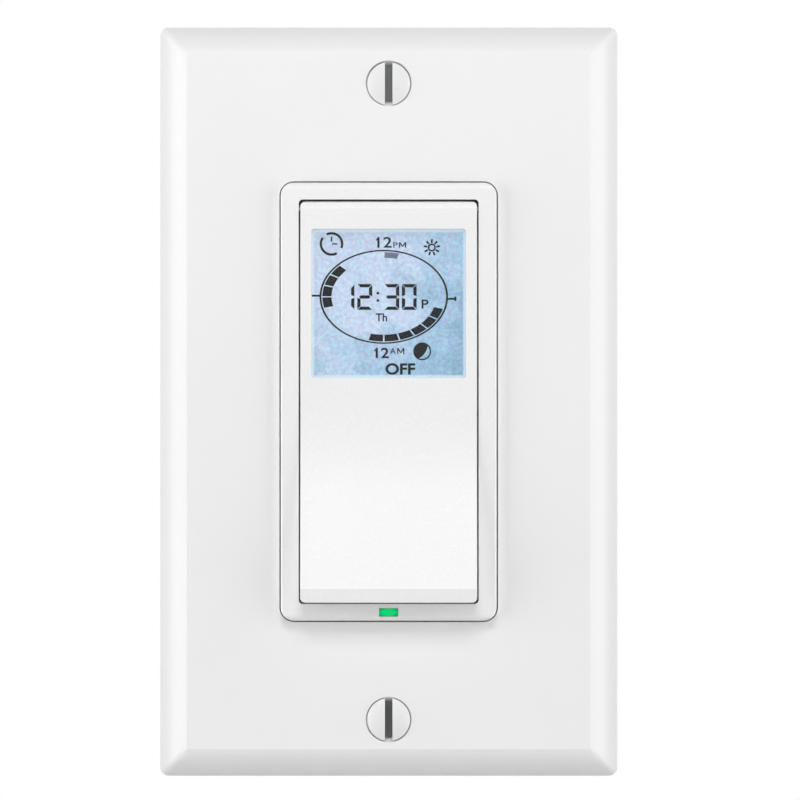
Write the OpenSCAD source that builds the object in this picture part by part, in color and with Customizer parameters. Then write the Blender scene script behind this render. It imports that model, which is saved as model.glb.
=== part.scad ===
// Timer light switch: a wall plate round a framed push pad with a display window.
// The pad is pressed at its foot to switch the light and swings up on a rod to bare the setting keys.
// Modelled face up, as on a bench: x to the right, y up the wall, z out from the wall.

/* [Wall plate] */
// Width of the wall plate
plate_w = 69.85; // [64:0.05:90]
// Height of the wall plate
plate_h = 114.3; // [112:0.1:140]
// Height of the plate's flat face above the wall
plate_t = 5.6; // [5.3:0.1:6.4]
// Wall thickness of the moulded plate
plate_wall = 2; // [1.6:0.1:2.2]
// Width of the sloping border, seen from the front
bevel_w = 4.25; // [3.6:0.05:6]
// Tilt of the border where it meets the flat face, in degrees
bevel_tilt = 22; // [12:1:34]
// Height of the straight rim against the wall
rim_h = 1.4; // [1:0.1:2.2]
// Width of the rim, seen from the back
rim_w = 2.2; // [1.8:0.1:3]
// Radius of the plate's outer corners
plate_corner_r = 1.4; // [0.6:0.1:3]
// Distance from a box screw to the plate screw beyond it
plate_screw_step = 6.75; // [6.5:0.05:7.4]
// Width of the stiffening collar behind the opening
collar_w = 1.4; // [1:0.1:2]

/* [Front frame] */
// Width of the frame that fills the plate's opening
frame_w = 32.8; // [32.4:0.1:36]
// Height of the frame
frame_h = 66.6; // [66.2:0.1:70]
// Height of the frame's face above the wall
frame_z = 7.4; // [7.2:0.1:8.4]
// Radius of the frame's outer corners
frame_corner_r = 2; // [1:0.1:3]
// Rounding of the frame's top and bottom front edges
frame_edge_r = 1; // [0.4:0.1:1.6]
// Rounding of the frame's side front edges
frame_side_r = 0.4; // [0.2:0.1:0.8]
// Height of the ledge that carries the key deck
ledge_h = 1.2; // [0.9:0.1:1.4]
// Width of that ledge
ledge_w = 1.4; // [1.1:0.1:1.6]

/* [Push pad] */
// Width of the push pad
pad_w = 26.8; // [26.6:0.1:27.4]
// Height of the push pad
pad_h = 60.9; // [60.5:0.1:61.5]
// Height of the pad's flat face over the frame
pad_proud = 0.2; // [0.1:0.05:0.5]
// Thickness of the pad's face
pad_wall = 1.4; // [1.2:0.1:1.6]
// Thickness of the pad's side skirts
pad_skirt_t = 1.2; // [1:0.1:1.3]
// Depth of the skirts below the pad's inner face
pad_skirt_d = 0.4; // [0.2:0.1:0.5]
// Radius of the pad's corners, seen from the front
pad_corner_r = 0.8; // [0.4:0.1:1.1]
// Height above the middle where the pad starts to flare
flare_start = 0.6; // [0:0.1:1.2]
// Height of the curved stretch of the flare
flare_len = 15.5; // [10:0.5:20]
// Tilt of the flare's straight stretch, in degrees
flare_tilt = 9; // [5:0.5:12]
// Height of the lip under the flare's crest
lip_h = 2.1; // [1.6:0.1:3]
// Backward tilt of the lip, in degrees
lip_tilt = 8; // [2:1:20]
// Thickness of the ribs inside the pad
pad_rib_t = 1; // [0.8:0.1:1.4]
// Radius of the rounded top edge that turns on the hinge rod
knuckle_r = 1.2; // [1.1:0.05:1.4]
// Radius of the hinge rod
rod_r = 0.5; // [0.4:0.05:0.55]
// Length of hinge rod held in each side of the frame
rod_grip = 1.5; // [1:0.1:2]
// Radius of the pad's post over the switch
pad_post_r = 1.6; // [1.2:0.1:2]
// Thickness of the sheet-steel bail that lifts the pad after a press
bail_t = 0.3; // [0.2:0.05:0.35]
// Height of the bail's cross bar under the pad's foot
bail_w = 2; // [1.4:0.1:2.4]
// Radius of the bail's eyes round the hinge rod
eye_r = 0.8; // [0.75:0.05:0.9]

/* [Display] */
// Width of the display window
window_w = 23.5; // [20:0.1:23.6]
// Height of the display window
window_h = 22.6; // [18:0.1:23.4]
// Height of the window's middle above the middle of the switch
window_y = 14.9; // [14.6:0.1:15]
// Corner radius of the display window
window_r = 0.5; // [0.2:0.05:1]
// Depth of the window's face below the pad's face
window_sunk = 0.1; // [0:0.05:0.3]
// Height of the lens flange above and below the window
lens_flange_h = 0.5; // [0.3:0.1:0.6]
// Thickness of the lens flange
lens_flange_t = 0.5; // [0.3:0.1:0.6]
// Width of the display glass
glass_w = 24.4; // [23.8:0.1:24.4]
// Height of the display glass
glass_h = 26.6; // [25.8:0.1:26.6]
// Thickness of the display glass
glass_t = 1.8; // [1.4:0.1:2]
// Thickness of the display bezel, beside and over the glass
bezel_t = 0.3; // [0.2:0.05:0.4]
// Width of each elastomer connector strip
strip_w = 1.8; // [1.4:0.1:2]

/* [Keys and boards] */
// Width of a setting key
key_w = 7.4; // [6:0.1:8]
// Height of a setting key
key_h = 5; // [4:0.1:5.6]
// Distance between key columns
key_pitch_x = 12.4; // [11:0.1:13]
// Distance between key rows
key_pitch_y = 8; // [7.6:0.1:8.4]
// Height of the middle of the keys
key_y = -10; // [-10.4:0.1:-9.6]
// Height of a key's top over the key deck
key_proud = 0.8; // [0.4:0.1:0.9]
// Travel of a setting key
key_travel = 0.4; // [0.2:0.05:0.45]
// Thickness of the key deck's panel
deck_t = 1.4; // [1:0.1:1.6]
// Height of the push pad's switch, below the middle
switch_y = -23.5; // [-24.5:0.1:-22.5]
// Side of a square push switch
switch_w = 4.8; // [4:0.1:5.4]
// Height of a push switch's case
switch_h = 1.6; // [1.2:0.1:1.7]
// Radius of a push switch's plunger
plunger_r = 1.2; // [0.8:0.1:1.5]
// Thickness of the two circuit boards
board_t = 1.6; // [1:0.1:1.6]
// Height of the display board's front over the wall
board_z = 0.4; // [0.2:0.1:0.6]

/* [Indicator] */
// Width of the indicator window
pipe_w = 2.75; // [2:0.05:4]
// Height of the indicator window
pipe_h = 1.15; // [0.8:0.05:1.3]

/* [Mounting strap] */
// Thickness of the steel strap
strap_t = 1.2; // [0.9:0.1:1.3]
// How far the strap stands out past the housing on every side
strap_margin = 0.6; // [0:0.1:1.5]
// How far the strap runs on past the plate screws
strap_end = 4.2; // [3.6:0.1:5]
// Width of the strap's end tongues
tongue_w = 22; // [18:0.5:24]
// Radius of the break-off ears
ear_r = 5.4; // [4.5:0.1:5.6]
// Distance between the two box screws
box_screw_pitch = 83.34; // [82.6:0.01:84]

/* [Rear housing] */
// Width of the rear housing
housing_w = 43.6; // [42.6:0.2:48]
// Height of the rear housing
housing_h = 66; // [65.4:0.2:67]
// Depth of the rear housing behind the wall surface
housing_d = 33; // [30:0.5:45]
// Wall thickness of the housing
housing_wall = 1.8; // [1.4:0.1:2]
// Rounding of the housing's corners
housing_r = 2; // [1:0.1:3]
// Rounding of the housing's back edges
housing_back_r = 1.2; // [0.6:0.1:1.6]
// Distance from the middle to the floor of a terminal notch
notch_x = 16; // [15:0.1:16.4]
// Height of a terminal notch
notch_h = 14; // [12:0.5:14.5]
// Height of a terminal notch's middle, above or below the middle
notch_y = 16.5; // [16:0.1:17]
// Depth of the housing in front of the terminal notches
notch_z = 11; // [10.4:0.1:13]

/* [Fasteners] */
// Radius of the machine screws' thread
screw_r = 1.75; // [1.5:0.05:1.8]
// Radius of a plate screw's head
plate_head_r = 3.26; // [2.8:0.02:3.6]
// Height of a plate screw's domed head over the plate
plate_dome_h = 0.9; // [0.5:0.05:1.2]
// Width of the screwdriver slots
slot_w = 1.15; // [0.8:0.05:1.4]
// Length of a plate screw
plate_screw_len = 12.7; // [10:0.1:20]
// Length of a box screw behind the strap
box_screw_len = 24; // [16:0.5:32]
// Radius of a box screw's head
box_head_r = 3.4; // [3:0.05:3.45]
// Radius of the housing screws
housing_screw_r = 1.4; // [1.2:0.05:1.5]
// Radius of a terminal screw's head
terminal_head_r = 3.6; // [3:0.1:4]

/* [Clearances] */
// Gap between the plate's opening and the frame
frame_gap = 0.2; // [0.1:0.05:0.4]
// Gap between the frame and the push pad
pad_gap = 0.25; // [0.2:0.05:0.4]
// Radial gap of the hinge rod and the plungers in their bores
running_gap = 0.03; // [0.02:0.01:0.05]
// Gap between pieces that lie against each other
seat_gap = 0.05; // [0.02:0.01:0.08]
// Gap round pieces that are dropped into place
loose_gap = 0.2; // [0.1:0.05:0.3]

/* [Hidden] */
$fn = 48;
far = 200;              // reach of a cut that only has to clear the part
over = 1;               // how far a cut runs past the face that it opens
flare_steps = 16;

plate_in_z = plate_t - plate_wall;
bevel_h = plate_t - rim_h;
bevel_end_tilt = 2 * atan(bevel_h / bevel_w) - bevel_tilt;
bevel_r = bevel_w / (sin(bevel_end_tilt) - sin(bevel_tilt));
opening_w = frame_w + 2 * frame_gap;
opening_h = frame_h + 2 * frame_gap;
opening_r = frame_corner_r + frame_gap;
plate_screw_y = box_screw_pitch / 2 + plate_screw_step;
plate_hole_gap = 0.35;
plate_boss_r = plate_screw_step - box_head_r - plate_hole_gap;
plate_hole_r = screw_r + plate_hole_gap;
cone_half_angle = 41;
cone_gap = 0.24;
head_edge = 0.1;
slot_depth = 1.5;

pocket_w = pad_w + 2 * pad_gap;
pocket_h = pad_h + 2 * pad_gap;
swing_share = 2.4;      // the pad's square edge, pad_gap inside both walls, swings clear of this corner
pocket_r = swing_share * pad_gap;
ledge_z = strap_t + ledge_h;
inner_w = pocket_w - 2 * ledge_w;
inner_h = pocket_h - 2 * ledge_w;
stake_r = 0.95;
stake_head_r = 1.5;
stake_head_t = 0.6;
stake_x = (pocket_w + frame_w) / 4;
stake_y = 22;
stake_gap = 0.1;

face_z = frame_z + pad_proud;
pad_in_z = face_z - pad_wall;
skirt_z = pad_in_z - pad_skirt_d;
pad_low = -pad_h / 2;
hinge_y = pad_h / 2 - knuckle_r;
hinge_z = face_z - knuckle_r;
flare_r = flare_len / sin(flare_tilt);
flare_end = flare_start - flare_len;
crest_y = pad_low + lip_h;
lip_z = pad_z(crest_y) - lip_h * tan(lip_tilt);
rod_len = pocket_w + 2 * rod_grip;
rib_rise = 0.1;
rib_z = skirt_z + rib_rise;
lens_w = pad_w - 2 * (pad_skirt_t + seat_gap);
eye_gap = 0.1;

deck_w = pocket_w - 2 * loose_gap;
deck_h = pocket_h - 2 * loose_gap;
deck_h_z = 2.4;
deck_z = ledge_z + deck_h_z;
deck_under = deck_z - deck_t;
deck_wall = 1.2;
bezel_w = glass_w + 2 * bezel_t + 2 * seat_gap;
bezel_h = glass_h + 2 * bezel_t + 2 * seat_gap;
bail_top = skirt_z - seat_gap;
bail_low = bail_top - bail_t;
bail_foot = pad_low + 2 * seat_gap;
bail_side = pad_w / 2 - seat_gap;
bail_inner = bezel_w / 2 + 2 * seat_gap;
knuckle_end = bail_inner - seat_gap;
bezel_rise = 0.4;
bezel_z = deck_z + bezel_rise;
well_w = bezel_w + 2 * seat_gap;
well_h = bezel_h + 2 * seat_gap;
glass_top = bezel_z - bezel_t;
glass_low = glass_top - glass_t;
view_margin = 0.1;
view_w = window_w + 2 * view_margin;
view_h = window_h + 2 * view_margin;
board_w = inner_w - 2 * loose_gap;
board_h = inner_h - 2 * loose_gap;
board_back = board_z - board_t;
deck_post_r = 1.1;
deck_pin_r = 0.6;
post_edge = 0.3;
post_below_bezel = 0.6;
post_above_end = 1;
deck_post_x = board_w / 2 - deck_post_r - post_edge;
deck_post_top = window_y - bezel_h / 2 - deck_post_r - post_below_bezel;
deck_post_low = -board_h / 2 + deck_post_r + post_above_end;
tab_w = 2;
tab_tip = 0.4;
strip_y = glass_h / 2 - strip_w / 2;
guide_w = 20.6;
guide_h = glass_h - 2 * strip_w - 2 * seat_gap;
lamp_size = [1.3, 2.6, 1.5];

plunger_rise = 0.6;
plunger_top = board_z + switch_h + plunger_rise;
plunger_well = 1;
switch_corner_r = 0.5;
plunger_low = board_z + switch_h - plunger_well / 2;
key_flange = 0.8;
key_flange_low = plunger_top + seat_gap;
key_top = deck_z + key_proud;
key_crown_r = 22;
key_corner_r = 0.8;
post_hole_gap = 1;

pipe_y = -(frame_h / 2 + pocket_h / 2) / 2;
pipe_foot_z = strap_t + 2 * seat_gap;
pipe_foot_t = 1.1;
pipe_foot_in = 2.2;
pipe_foot_y = -board_h / 2 + pipe_foot_in;
lamp_y = -board_h / 2 + pipe_foot_in / 2;
indicator_lamp_size = [2, 1.25];

strap_w = housing_w + 2 * strap_margin;
strap_body_h = housing_h + 2 * strap_margin;
strap_len = 2 * (plate_screw_y + strap_end);
thread_wall = 1;
thread_boss_r = screw_r + thread_wall;
thread_boss_h = 1.4;
strap_corner_r = 2;
tongue_corner_r = 4;
window_cut_w = inner_w + 2 * loose_gap;
window_cut_h = inner_h + 2 * loose_gap;
ear_in = 1.9;
ear_out = 0.3;
ear_x = tongue_w / 2 + ear_r - ear_in;
ear_y = strap_len / 2 - ear_r + ear_out;
ear_notch_w = 0.8;
ear_web = 3;
ground_head_r = 3.3;
ground_head_h = 1.8;
ground_tip = 1.4;
lug_x = -13;
lug_r = 4.3;
lug_y = -housing_h / 2 - ground_head_r - strap_margin;
box_screw_y = box_screw_pitch / 2;
box_slot_len = 7.5;
box_slot_r = 2.2;
box_head_h = 1.8;
head_dome = 2.2;
neck_step = 0.25;
box_neck_r = screw_r - neck_step;
retainer_w = 10;
retainer_h = 2 * (plate_screw_step - thread_boss_r - 2 * loose_gap);
retainer_t = 0.4;
retainer_corner_r = 1;

housing_in_w = housing_w - 2 * housing_wall;
housing_in_h = housing_h - 2 * housing_wall;
boss_r = 3.2;
boss_inset = 0.2;
boss_x = housing_w / 2 - boss_r - boss_inset;
boss_y = housing_h / 2 - boss_r - boss_inset;
bore_z = -14;
bore_r = 2.7;
housing_head_r = 2.4;
housing_head_h = 1.8;
notch_wall = 1.6;
shelf_z = -notch_z + notch_wall;

chip_w = 10;
chip_t = 1.4;
chip_corner_r = 0.3;
crystal_r = 1;
crystal_len = 6;
rest_w = 2.4;
rest_h = 5;
board_lift = 1.8;
main_back = shelf_z + board_lift;
main_front = main_back + board_t;
main_w = housing_in_w - 2 * loose_gap;
main_h = housing_in_h - 2 * loose_gap;
barrier_t = 1;
barrier_lift = 1.2;
barrier_back = main_front + barrier_lift;
barrier_front = barrier_back + barrier_t;
barrier_leg = 2.4;
plug_y = -8;
plug_w = 13;
plug_h = 5.2;
pin_pitch = 2.54;
pin_r = 0.32;
pin_hole_r = 0.5;
header_t = 1.8;
pin_clear = 0.4;
pin_tip = main_front + pin_clear;

contact_t = 0.9;
contact_h = 9.4;
contact_len = 13;
tail_h = 4;
terminal_drop = 8.5;
terminal_z = -notch_z - terminal_drop;
terminal_head_h = 2;
wire_gap = 2.2;
terminal_tip = 3;
terminal_well_r = screw_r + 2 * loose_gap;

case_corner_r = 0.6;
relay_size = [19, 15.4, 15.6];
film_cap_size = [18, 7.6, 13];
film_cap_y = 1.5;
can_r = 4;
can_h = 12;
can_x = -7.5;
can_rise = 6;
groove_t = 0.8;
groove_depth = 0.4;
coin_r = 5.4;
coin_h = 6.5;
coin_x = 6;
coin_rise = 5;
disc_r = 5;
disc_t = 4;
disc_lift = 0.6;
disc_drop = 5;
disc_y = -notch_y - disc_drop;
lead_r = 0.4;
lead_pitch = 5;
fuse_r = 1.6;
fuse_len = 9;
fuse_inset = 3.5;
fuse_y = main_h / 2 - fuse_inset;

// Height of the pad's front surface at y, over the wall
function pad_z(y) =
    y > flare_start ? face_z :
    y > flare_end ? face_z + flare_r - sqrt(pow(flare_r, 2) - pow(flare_start - y, 2)) :
    face_z + flare_r * (1 - cos(flare_tilt)) + (flare_end - y) * tan(flare_tilt);

// The pad's front line from the start of the flare to its crest, lowered by drop
function flare_line(drop) = concat(
    [for (i = [0 : flare_steps])
        let (y = flare_start - flare_r * sin(flare_tilt * i / flare_steps)) [y, pad_z(y) - drop]],
    [[crest_y, pad_z(crest_y) - drop]]
);

// Stands a piece that is modelled face up against the wall, facing -Y
module on_wall() { rotate([90, 0, 0]) children(); }

module rounded_rect(w, h, r) {
    square([w - 2 * r, h], center = true);
    square([w, h - 2 * r], center = true);
    for (x = [-1, 1], y = [-1, 1]) translate([x * (w / 2 - r), y * (h / 2 - r)]) circle(r);
}

module slab(w, h, r, low, high) {
    translate([0, 0, low]) linear_extrude(high - low) rounded_rect(w, h, r);
}

module block(w, h, low, high) {
    translate([-w / 2, -h / 2, low]) cube([w, h, high - low]);
}

module rod(r, low, high) { translate([0, 0, low]) cylinder(r = r, h = high - low); }

// A section drawn as [x, z], run along y, or as [y, z], run along x
module along_y(len) { rotate([90, 0, 0]) linear_extrude(len, center = true) children(); }
module along_x(len) { rotate([90, 0, 90]) linear_extrude(len, center = true) children(); }

module at_corners(x, y) { for (i = [-1, 1], j = [-1, 1]) translate([i * x, j * y, 0]) children(); }
module at_ends(y) { for (j = [-1, 1]) translate([0, j * y, 0]) children(); }

// Wall plate

// Section across the plate: a flat face with a convex border on each side
module plate_section(half) {
    difference() {
        translate([-half, 0]) square([2 * half, plate_t]);
        for (side = [0, 1]) mirror([side, 0]) difference() {
            translate([half - bevel_w, rim_h]) square([bevel_w + over, bevel_h + over]);
            translate([half - bevel_w - bevel_r * sin(bevel_tilt), plate_t - bevel_r * cos(bevel_tilt)])
                circle(bevel_r);
        }
    }
}

module plate_cone(r) {
    depth = r / tan(cone_half_angle);
    translate([0, 0, plate_t - depth]) cylinder(r1 = 0, r2 = r, h = depth);
}

module wall_plate() {
    color("white") difference() {
        intersection() {
            slab(plate_w, plate_h, plate_corner_r, 0, plate_t);
            along_y(plate_h + over) plate_section(plate_w / 2);
            along_x(plate_w + over) plate_section(plate_h / 2);
        }
        difference() {
            slab(plate_w - 2 * rim_w, plate_h - 2 * rim_w, plate_corner_r, -over, plate_in_z);
            slab(opening_w + 2 * collar_w, opening_h + 2 * collar_w, opening_r + collar_w,
                strap_t + loose_gap, plate_t);
            at_ends(plate_screw_y) rod(plate_boss_r, strap_t + seat_gap, plate_t);
        }
        slab(opening_w, opening_h, opening_r, -over, plate_t + over);
        strap_room();
        at_ends(plate_screw_y) {
            rod(plate_hole_r, -over, plate_t);
            plate_cone(plate_head_r + cone_gap);
        }
    }
}

// Room for the strap's tongues and ears behind the plate
module strap_room() {
    slab(tongue_w + 2 * loose_gap, strap_len + 2 * loose_gap, tongue_corner_r, -over, strap_t + seat_gap);
    at_corners(ear_x, ear_y) rod(ear_r + loose_gap, -over, strap_t + seat_gap);
}

// Oval-head slotted screw that sits in the plate's countersink
module plate_screw() {
    crown = plate_dome_h - head_edge;
    dome_r = (pow(crown, 2) + pow(plate_head_r, 2)) / (2 * crown);
    difference() {
        union() {
            intersection() {
                rod(plate_head_r, plate_t, plate_t + plate_dome_h);
                translate([0, 0, plate_t + plate_dome_h - dome_r]) sphere(dome_r, $fn = 96);
            }
            plate_cone(plate_head_r);
            rod(screw_r - seat_gap, plate_t - plate_screw_len, plate_t);
        }
        translate([0, 0, plate_t + plate_dome_h - slot_depth]) block(slot_w, far, 0, slot_depth + over);
    }
}

module plate_screws() { color("gainsboro") at_ends(plate_screw_y) plate_screw(); }

// Front frame

// Section with its two front edges rounded
module crowned_section(half, r) {
    translate([-half, 0]) square([2 * half, frame_z - r]);
    translate([-half + r, 0]) square([2 * half - 2 * r, frame_z]);
    for (side = [-1, 1]) translate([side * (half - r), frame_z - r]) circle(r);
}

module front_frame() {
    color("white") difference() {
        union() {
            intersection() {
                slab(frame_w, frame_h, frame_corner_r, strap_t, frame_z);
                along_y(frame_h + over) crowned_section(frame_w / 2, frame_side_r);
                along_x(frame_w + over) crowned_section(frame_h / 2, frame_edge_r);
            }
            at_corners(stake_x, stake_y) {
                rod(stake_r, -stake_head_t, strap_t + over);
                rod(stake_head_r, -stake_head_t, 0);
            }
        }
        slab(pocket_w, pocket_h, pocket_r, ledge_z, frame_z + over);
        slab(inner_w, inner_h, pocket_r, -over, frame_z);
        translate([0, pipe_y, 0])
            block(pipe_w + 2 * seat_gap, pipe_h + 2 * seat_gap, strap_t - over, frame_z + over);
        translate([0, (pipe_y + pipe_foot_y) / 2, 0])
            block(pipe_w + 2 * seat_gap, pipe_foot_y - pipe_y, strap_t - over,
                pipe_foot_z + pipe_foot_t + seat_gap);
        hinge_bore(rod_r + running_gap, rod_len + 2 * seat_gap);
    }
}

// Round bar on the hinge line
module hinge_bore(r, len) {
    translate([-len / 2, hinge_y, hinge_z]) rotate([0, 90, 0]) cylinder(r = r, h = len);
}

module hinge_rod() { color("silver") hinge_bore(rod_r, rod_len); }

// Push pad

module pad_outline() {
    polygon(concat(
        [[hinge_y, skirt_z], [hinge_y, face_z]],
        flare_line(0),
        [[pad_low, lip_z], [pad_low, skirt_z]]
    ));
    translate([hinge_y, hinge_z]) circle(knuckle_r);
}

module pad_hollow() {
    top = hinge_y - knuckle_r;
    low = pad_low + pad_skirt_t;
    polygon(concat(
        [[top, 0], [top, pad_in_z]],
        flare_line(pad_wall),
        [[low, lip_z - pad_wall], [low, 0]]
    ));
}

// Stiffening ribs between the pad's skirts, down to rib_z
module pad_ribs() {
    row_low = key_y - key_pitch_y / 2 - key_h / 2 - loose_gap - pad_rib_t;
    intersection() {
        along_x(pad_w - pad_skirt_t) pad_outline();
        union() {
            translate([0, (flare_start + row_low) / 2, 0])
                block(pad_rib_t, flare_start - row_low, rib_z, far);
            for (y = [flare_start, row_low]) translate([0, y, 0]) block(pad_w, pad_rib_t, rib_z, far);
        }
    }
}

module push_pad() {
    color("white") difference() {
        union() {
            difference() {
                intersection() {
                    along_x(pad_w) pad_outline();
                    slab(pad_w, pad_h, pad_corner_r, 0, far);
                }
                along_x(pad_w - 2 * pad_skirt_t) pad_hollow();
            }
            pad_ribs();
            translate([0, switch_y, 0])
                rod(pad_post_r, plunger_top + seat_gap, pad_z(switch_y) - pad_wall / 2);
        }
        translate([0, window_y, 0]) slab(window_w, window_h, window_r, 0, far);
        hinge_bore(rod_r + running_gap, far);
        for (side = [0, 1]) mirror([side, 0, 0]) translate([knuckle_end, hinge_y, hinge_z]) {
            rotate([0, 90, 0]) cylinder(r = eye_r + eye_gap, h = far);
            translate([0, -2 * knuckle_r, -far]) cube([far, 4 * knuckle_r, far + eye_gap]);
        }
    }
}

// Sheet-steel frame under the pad's skirts: it turns with the rod and lifts the pad's foot after a press
module return_bail() {
    color("silver") difference() {
        union() {
            difference() {
                translate([-bail_side, bail_foot, bail_low])
                    cube([2 * bail_side, hinge_y - bail_foot, bail_t]);
                translate([-bail_inner, bail_foot + bail_w, bail_low - over])
                    cube([2 * bail_inner, far, bail_t + 2 * over]);
            }
            for (side = [0, 1]) mirror([side, 0, 0]) translate([bail_side - bail_t, hinge_y, hinge_z]) {
                rotate([0, 90, 0]) cylinder(r = eye_r, h = bail_t);
                translate([0, -eye_r, bail_low - hinge_z]) cube([bail_t, eye_r, hinge_z - bail_low]);
            }
        }
        hinge_bore(rod_r + running_gap, far);
    }
}

module display_window() {
    color("lightblue", 0.4) translate([0, window_y, 0]) {
        slab(window_w - 2 * seat_gap, window_h - 2 * seat_gap, window_r - seat_gap,
            pad_in_z - lens_flange_t, face_z - window_sunk);
        block(lens_w, window_h + 2 * lens_flange_h,
            pad_in_z - lens_flange_t, pad_in_z);
    }
}

// Key deck and keys

module at_key(column, row) {
    translate([column * key_pitch_x / 2, key_y + row * key_pitch_y / 2, 0]) children();
}

module at_keys() { for (c = [-1, 1], r = [-1, 1]) at_key(c, r) children(); }

module at_deck_posts() {
    for (y = [deck_post_top, deck_post_low])
        for (side = [-1, 1]) translate([side * deck_post_x, y, 0]) children();
}

module key_deck() {
    color("whitesmoke") difference() {
        union() {
            slab(deck_w, deck_h, pocket_r - loose_gap, deck_under, deck_z);
            difference() {
                slab(deck_w, deck_h, pocket_r - loose_gap, ledge_z, deck_z);
                block(deck_w - 2 * deck_wall, deck_h - 2 * deck_wall, 0, far);
            }
            at_deck_posts() {
                rod(deck_post_r, board_z, deck_under + deck_t / 2);
                rod(deck_pin_r, board_back, board_z + over);
            }
        }
        translate([0, window_y, 0]) block(well_w, well_h, 0, far);
        at_keys() block(key_w + 2 * loose_gap, key_h + 2 * loose_gap, deck_under - over, far);
        translate([0, switch_y, 0]) rod(pad_post_r + post_hole_gap, deck_under - over, deck_z + over);
        translate([0, -deck_h / 2, 0])
            block(pipe_w + 2 * loose_gap, 2 * deck_wall + over, 0, pipe_foot_z + pipe_foot_t + loose_gap);
    }
}

// A key: a crowned cap over a flange that stays under the deck
module key_cap() {
    intersection() {
        slab(key_w, key_h, key_corner_r, key_flange_low, key_top);
        along_y(key_h + over) translate([0, key_top - key_crown_r]) circle(key_crown_r, $fn = 96);
    }
    block(key_w + 2 * key_flange, key_h + 2 * key_flange, key_flange_low, deck_under - seat_gap);
}

module key_up() { color("gray") at_key(-1, 1) key_cap(); }
module key_down() { color("gray") at_key(-1, -1) key_cap(); }
module key_enter() { color("gray") at_key(1, 1) key_cap(); }
module key_back() { color("gray") at_key(1, -1) key_cap(); }

module plunger() { rod(plunger_r, plunger_low, plunger_top); }

module plunger_up() { color("dimgray") at_key(-1, 1) plunger(); }
module plunger_down() { color("dimgray") at_key(-1, -1) plunger(); }
module plunger_enter() { color("dimgray") at_key(1, 1) plunger(); }
module plunger_back() { color("dimgray") at_key(1, -1) plunger(); }
module pad_plunger() { color("dimgray") translate([0, switch_y, 0]) plunger(); }

module switch_case() {
    difference() {
        slab(switch_w, switch_w, switch_corner_r, board_z, board_z + switch_h);
        rod(plunger_r + running_gap, board_z + switch_h - plunger_well, board_z + switch_h + over);
    }
}

module key_switches() { color("silver") at_keys() switch_case(); }
module pad_switch() { color("silver") translate([0, switch_y, 0]) switch_case(); }

// Display stack

module at_window() { translate([0, window_y, 0]) children(); }

module display_glass() { color("lightsteelblue") at_window() block(glass_w, glass_h, glass_low, glass_top); }

// Folded sheet frame that holds the glass down, with tabs through the display board
module display_bezel() {
    color("whitesmoke") at_window() {
        difference() {
            block(bezel_w, bezel_h, ledge_z, bezel_z);
            block(view_w, view_h, 0, far);
            block(glass_w + 2 * seat_gap, glass_h + 2 * seat_gap, ledge_z - over, glass_top);
        }
        at_tabs() block(tab_w, bezel_t, board_back - tab_tip, ledge_z + over);
    }
}

module at_tabs() { at_corners(glass_w / 4, (bezel_h - bezel_t) / 2) children(); }

module light_guide() { color("azure") at_window() block(guide_w, guide_h, board_z, glass_low); }

module backlight_lamps() {
    color("khaki") at_window() for (side = [-1, 1], y = [-1, 1])
        translate([side * (guide_w + lamp_size[0]) / 2, y * guide_h / 4, 0])
            block(lamp_size[0], lamp_size[1], board_z, board_z + lamp_size[2]);
}

module connector_strips() {
    color("pink") at_window() at_ends(strip_y) block(guide_w, strip_w, board_z, glass_low);
}

module display_board() {
    color("darkgreen") difference() {
        block(board_w, board_h, board_back, board_z);
        at_window() at_tabs()
            block(tab_w + 2 * seat_gap, bezel_t + 2 * seat_gap, board_back - over, board_z + over);
        at_deck_posts() rod(deck_pin_r + seat_gap, board_back - over, board_z + over);
    }
}

// Indicator

module indicator_lamp() {
    color("palegreen") translate([0, lamp_y, 0])
        block(indicator_lamp_size[0], indicator_lamp_size[1], board_z, pipe_foot_z - seat_gap);
}

// Clear rod: a window in the frame's foot, bent inwards over the lamp
module indicator_pipe() {
    color("limegreen") {
        translate([0, pipe_y, 0]) block(pipe_w, pipe_h, pipe_foot_z, frame_z);
        translate([0, (pipe_y + pipe_foot_y) / 2, 0])
            block(pipe_w, pipe_foot_y - pipe_y, pipe_foot_z, pipe_foot_z + pipe_foot_t);
    }
}

// Parts on the back of the display board

module controller_chip() {
    color("black") at_window()
        slab(chip_w, chip_w, chip_corner_r, board_back - chip_t, board_back);
}

module clock_crystal() {
    color("silver") translate([board_w / 2 - 4 * crystal_r, 2 * crystal_r, board_back - crystal_r])
        rotate([-90, 0, 0]) cylinder(r = crystal_r, h = crystal_len);
}

module at_pins() {
    for (i = [-2 : 2], j = [-1, 1]) translate([i * pin_pitch, plug_y + j * pin_pitch / 2, 0]) children();
}

module board_header() {
    color("black") {
        translate([0, plug_y, 0]) block(plug_w, plug_h, board_back - header_t, board_back);
        at_pins() rod(pin_r, pin_tip, board_back - header_t / 2);
    }
}

module board_socket() {
    color("black") difference() {
        translate([0, plug_y, 0]) block(plug_w, plug_h, main_front, board_back - header_t - seat_gap);
        at_pins() rod(pin_hole_r, (main_front + pin_tip) / 2, board_back);
    }
}

// Mounting strap

module strap_outline() {
    difference() {
        union() {
            rounded_rect(strap_w, strap_body_h, strap_corner_r);
            rounded_rect(tongue_w, strap_len, tongue_corner_r);
            for (x = [-1, 1], y = [-1, 1]) translate([x * ear_x, y * ear_y]) circle(ear_r);
            translate([lug_x, lug_y]) circle(lug_r);
            translate([lug_x - lug_r, lug_y]) square([2 * lug_r, -lug_y - strap_body_h / 2 + over]);
        }
        for (x = [-1, 1], y = [-1, 1], end = [-1, 1])
            translate([x * (tongue_w / 2 + ear_notch_w / 2), y * ear_y + end * (ear_web / 2 + ear_r / 2)])
                square([ear_notch_w, ear_r], center = true);
    }
}

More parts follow.
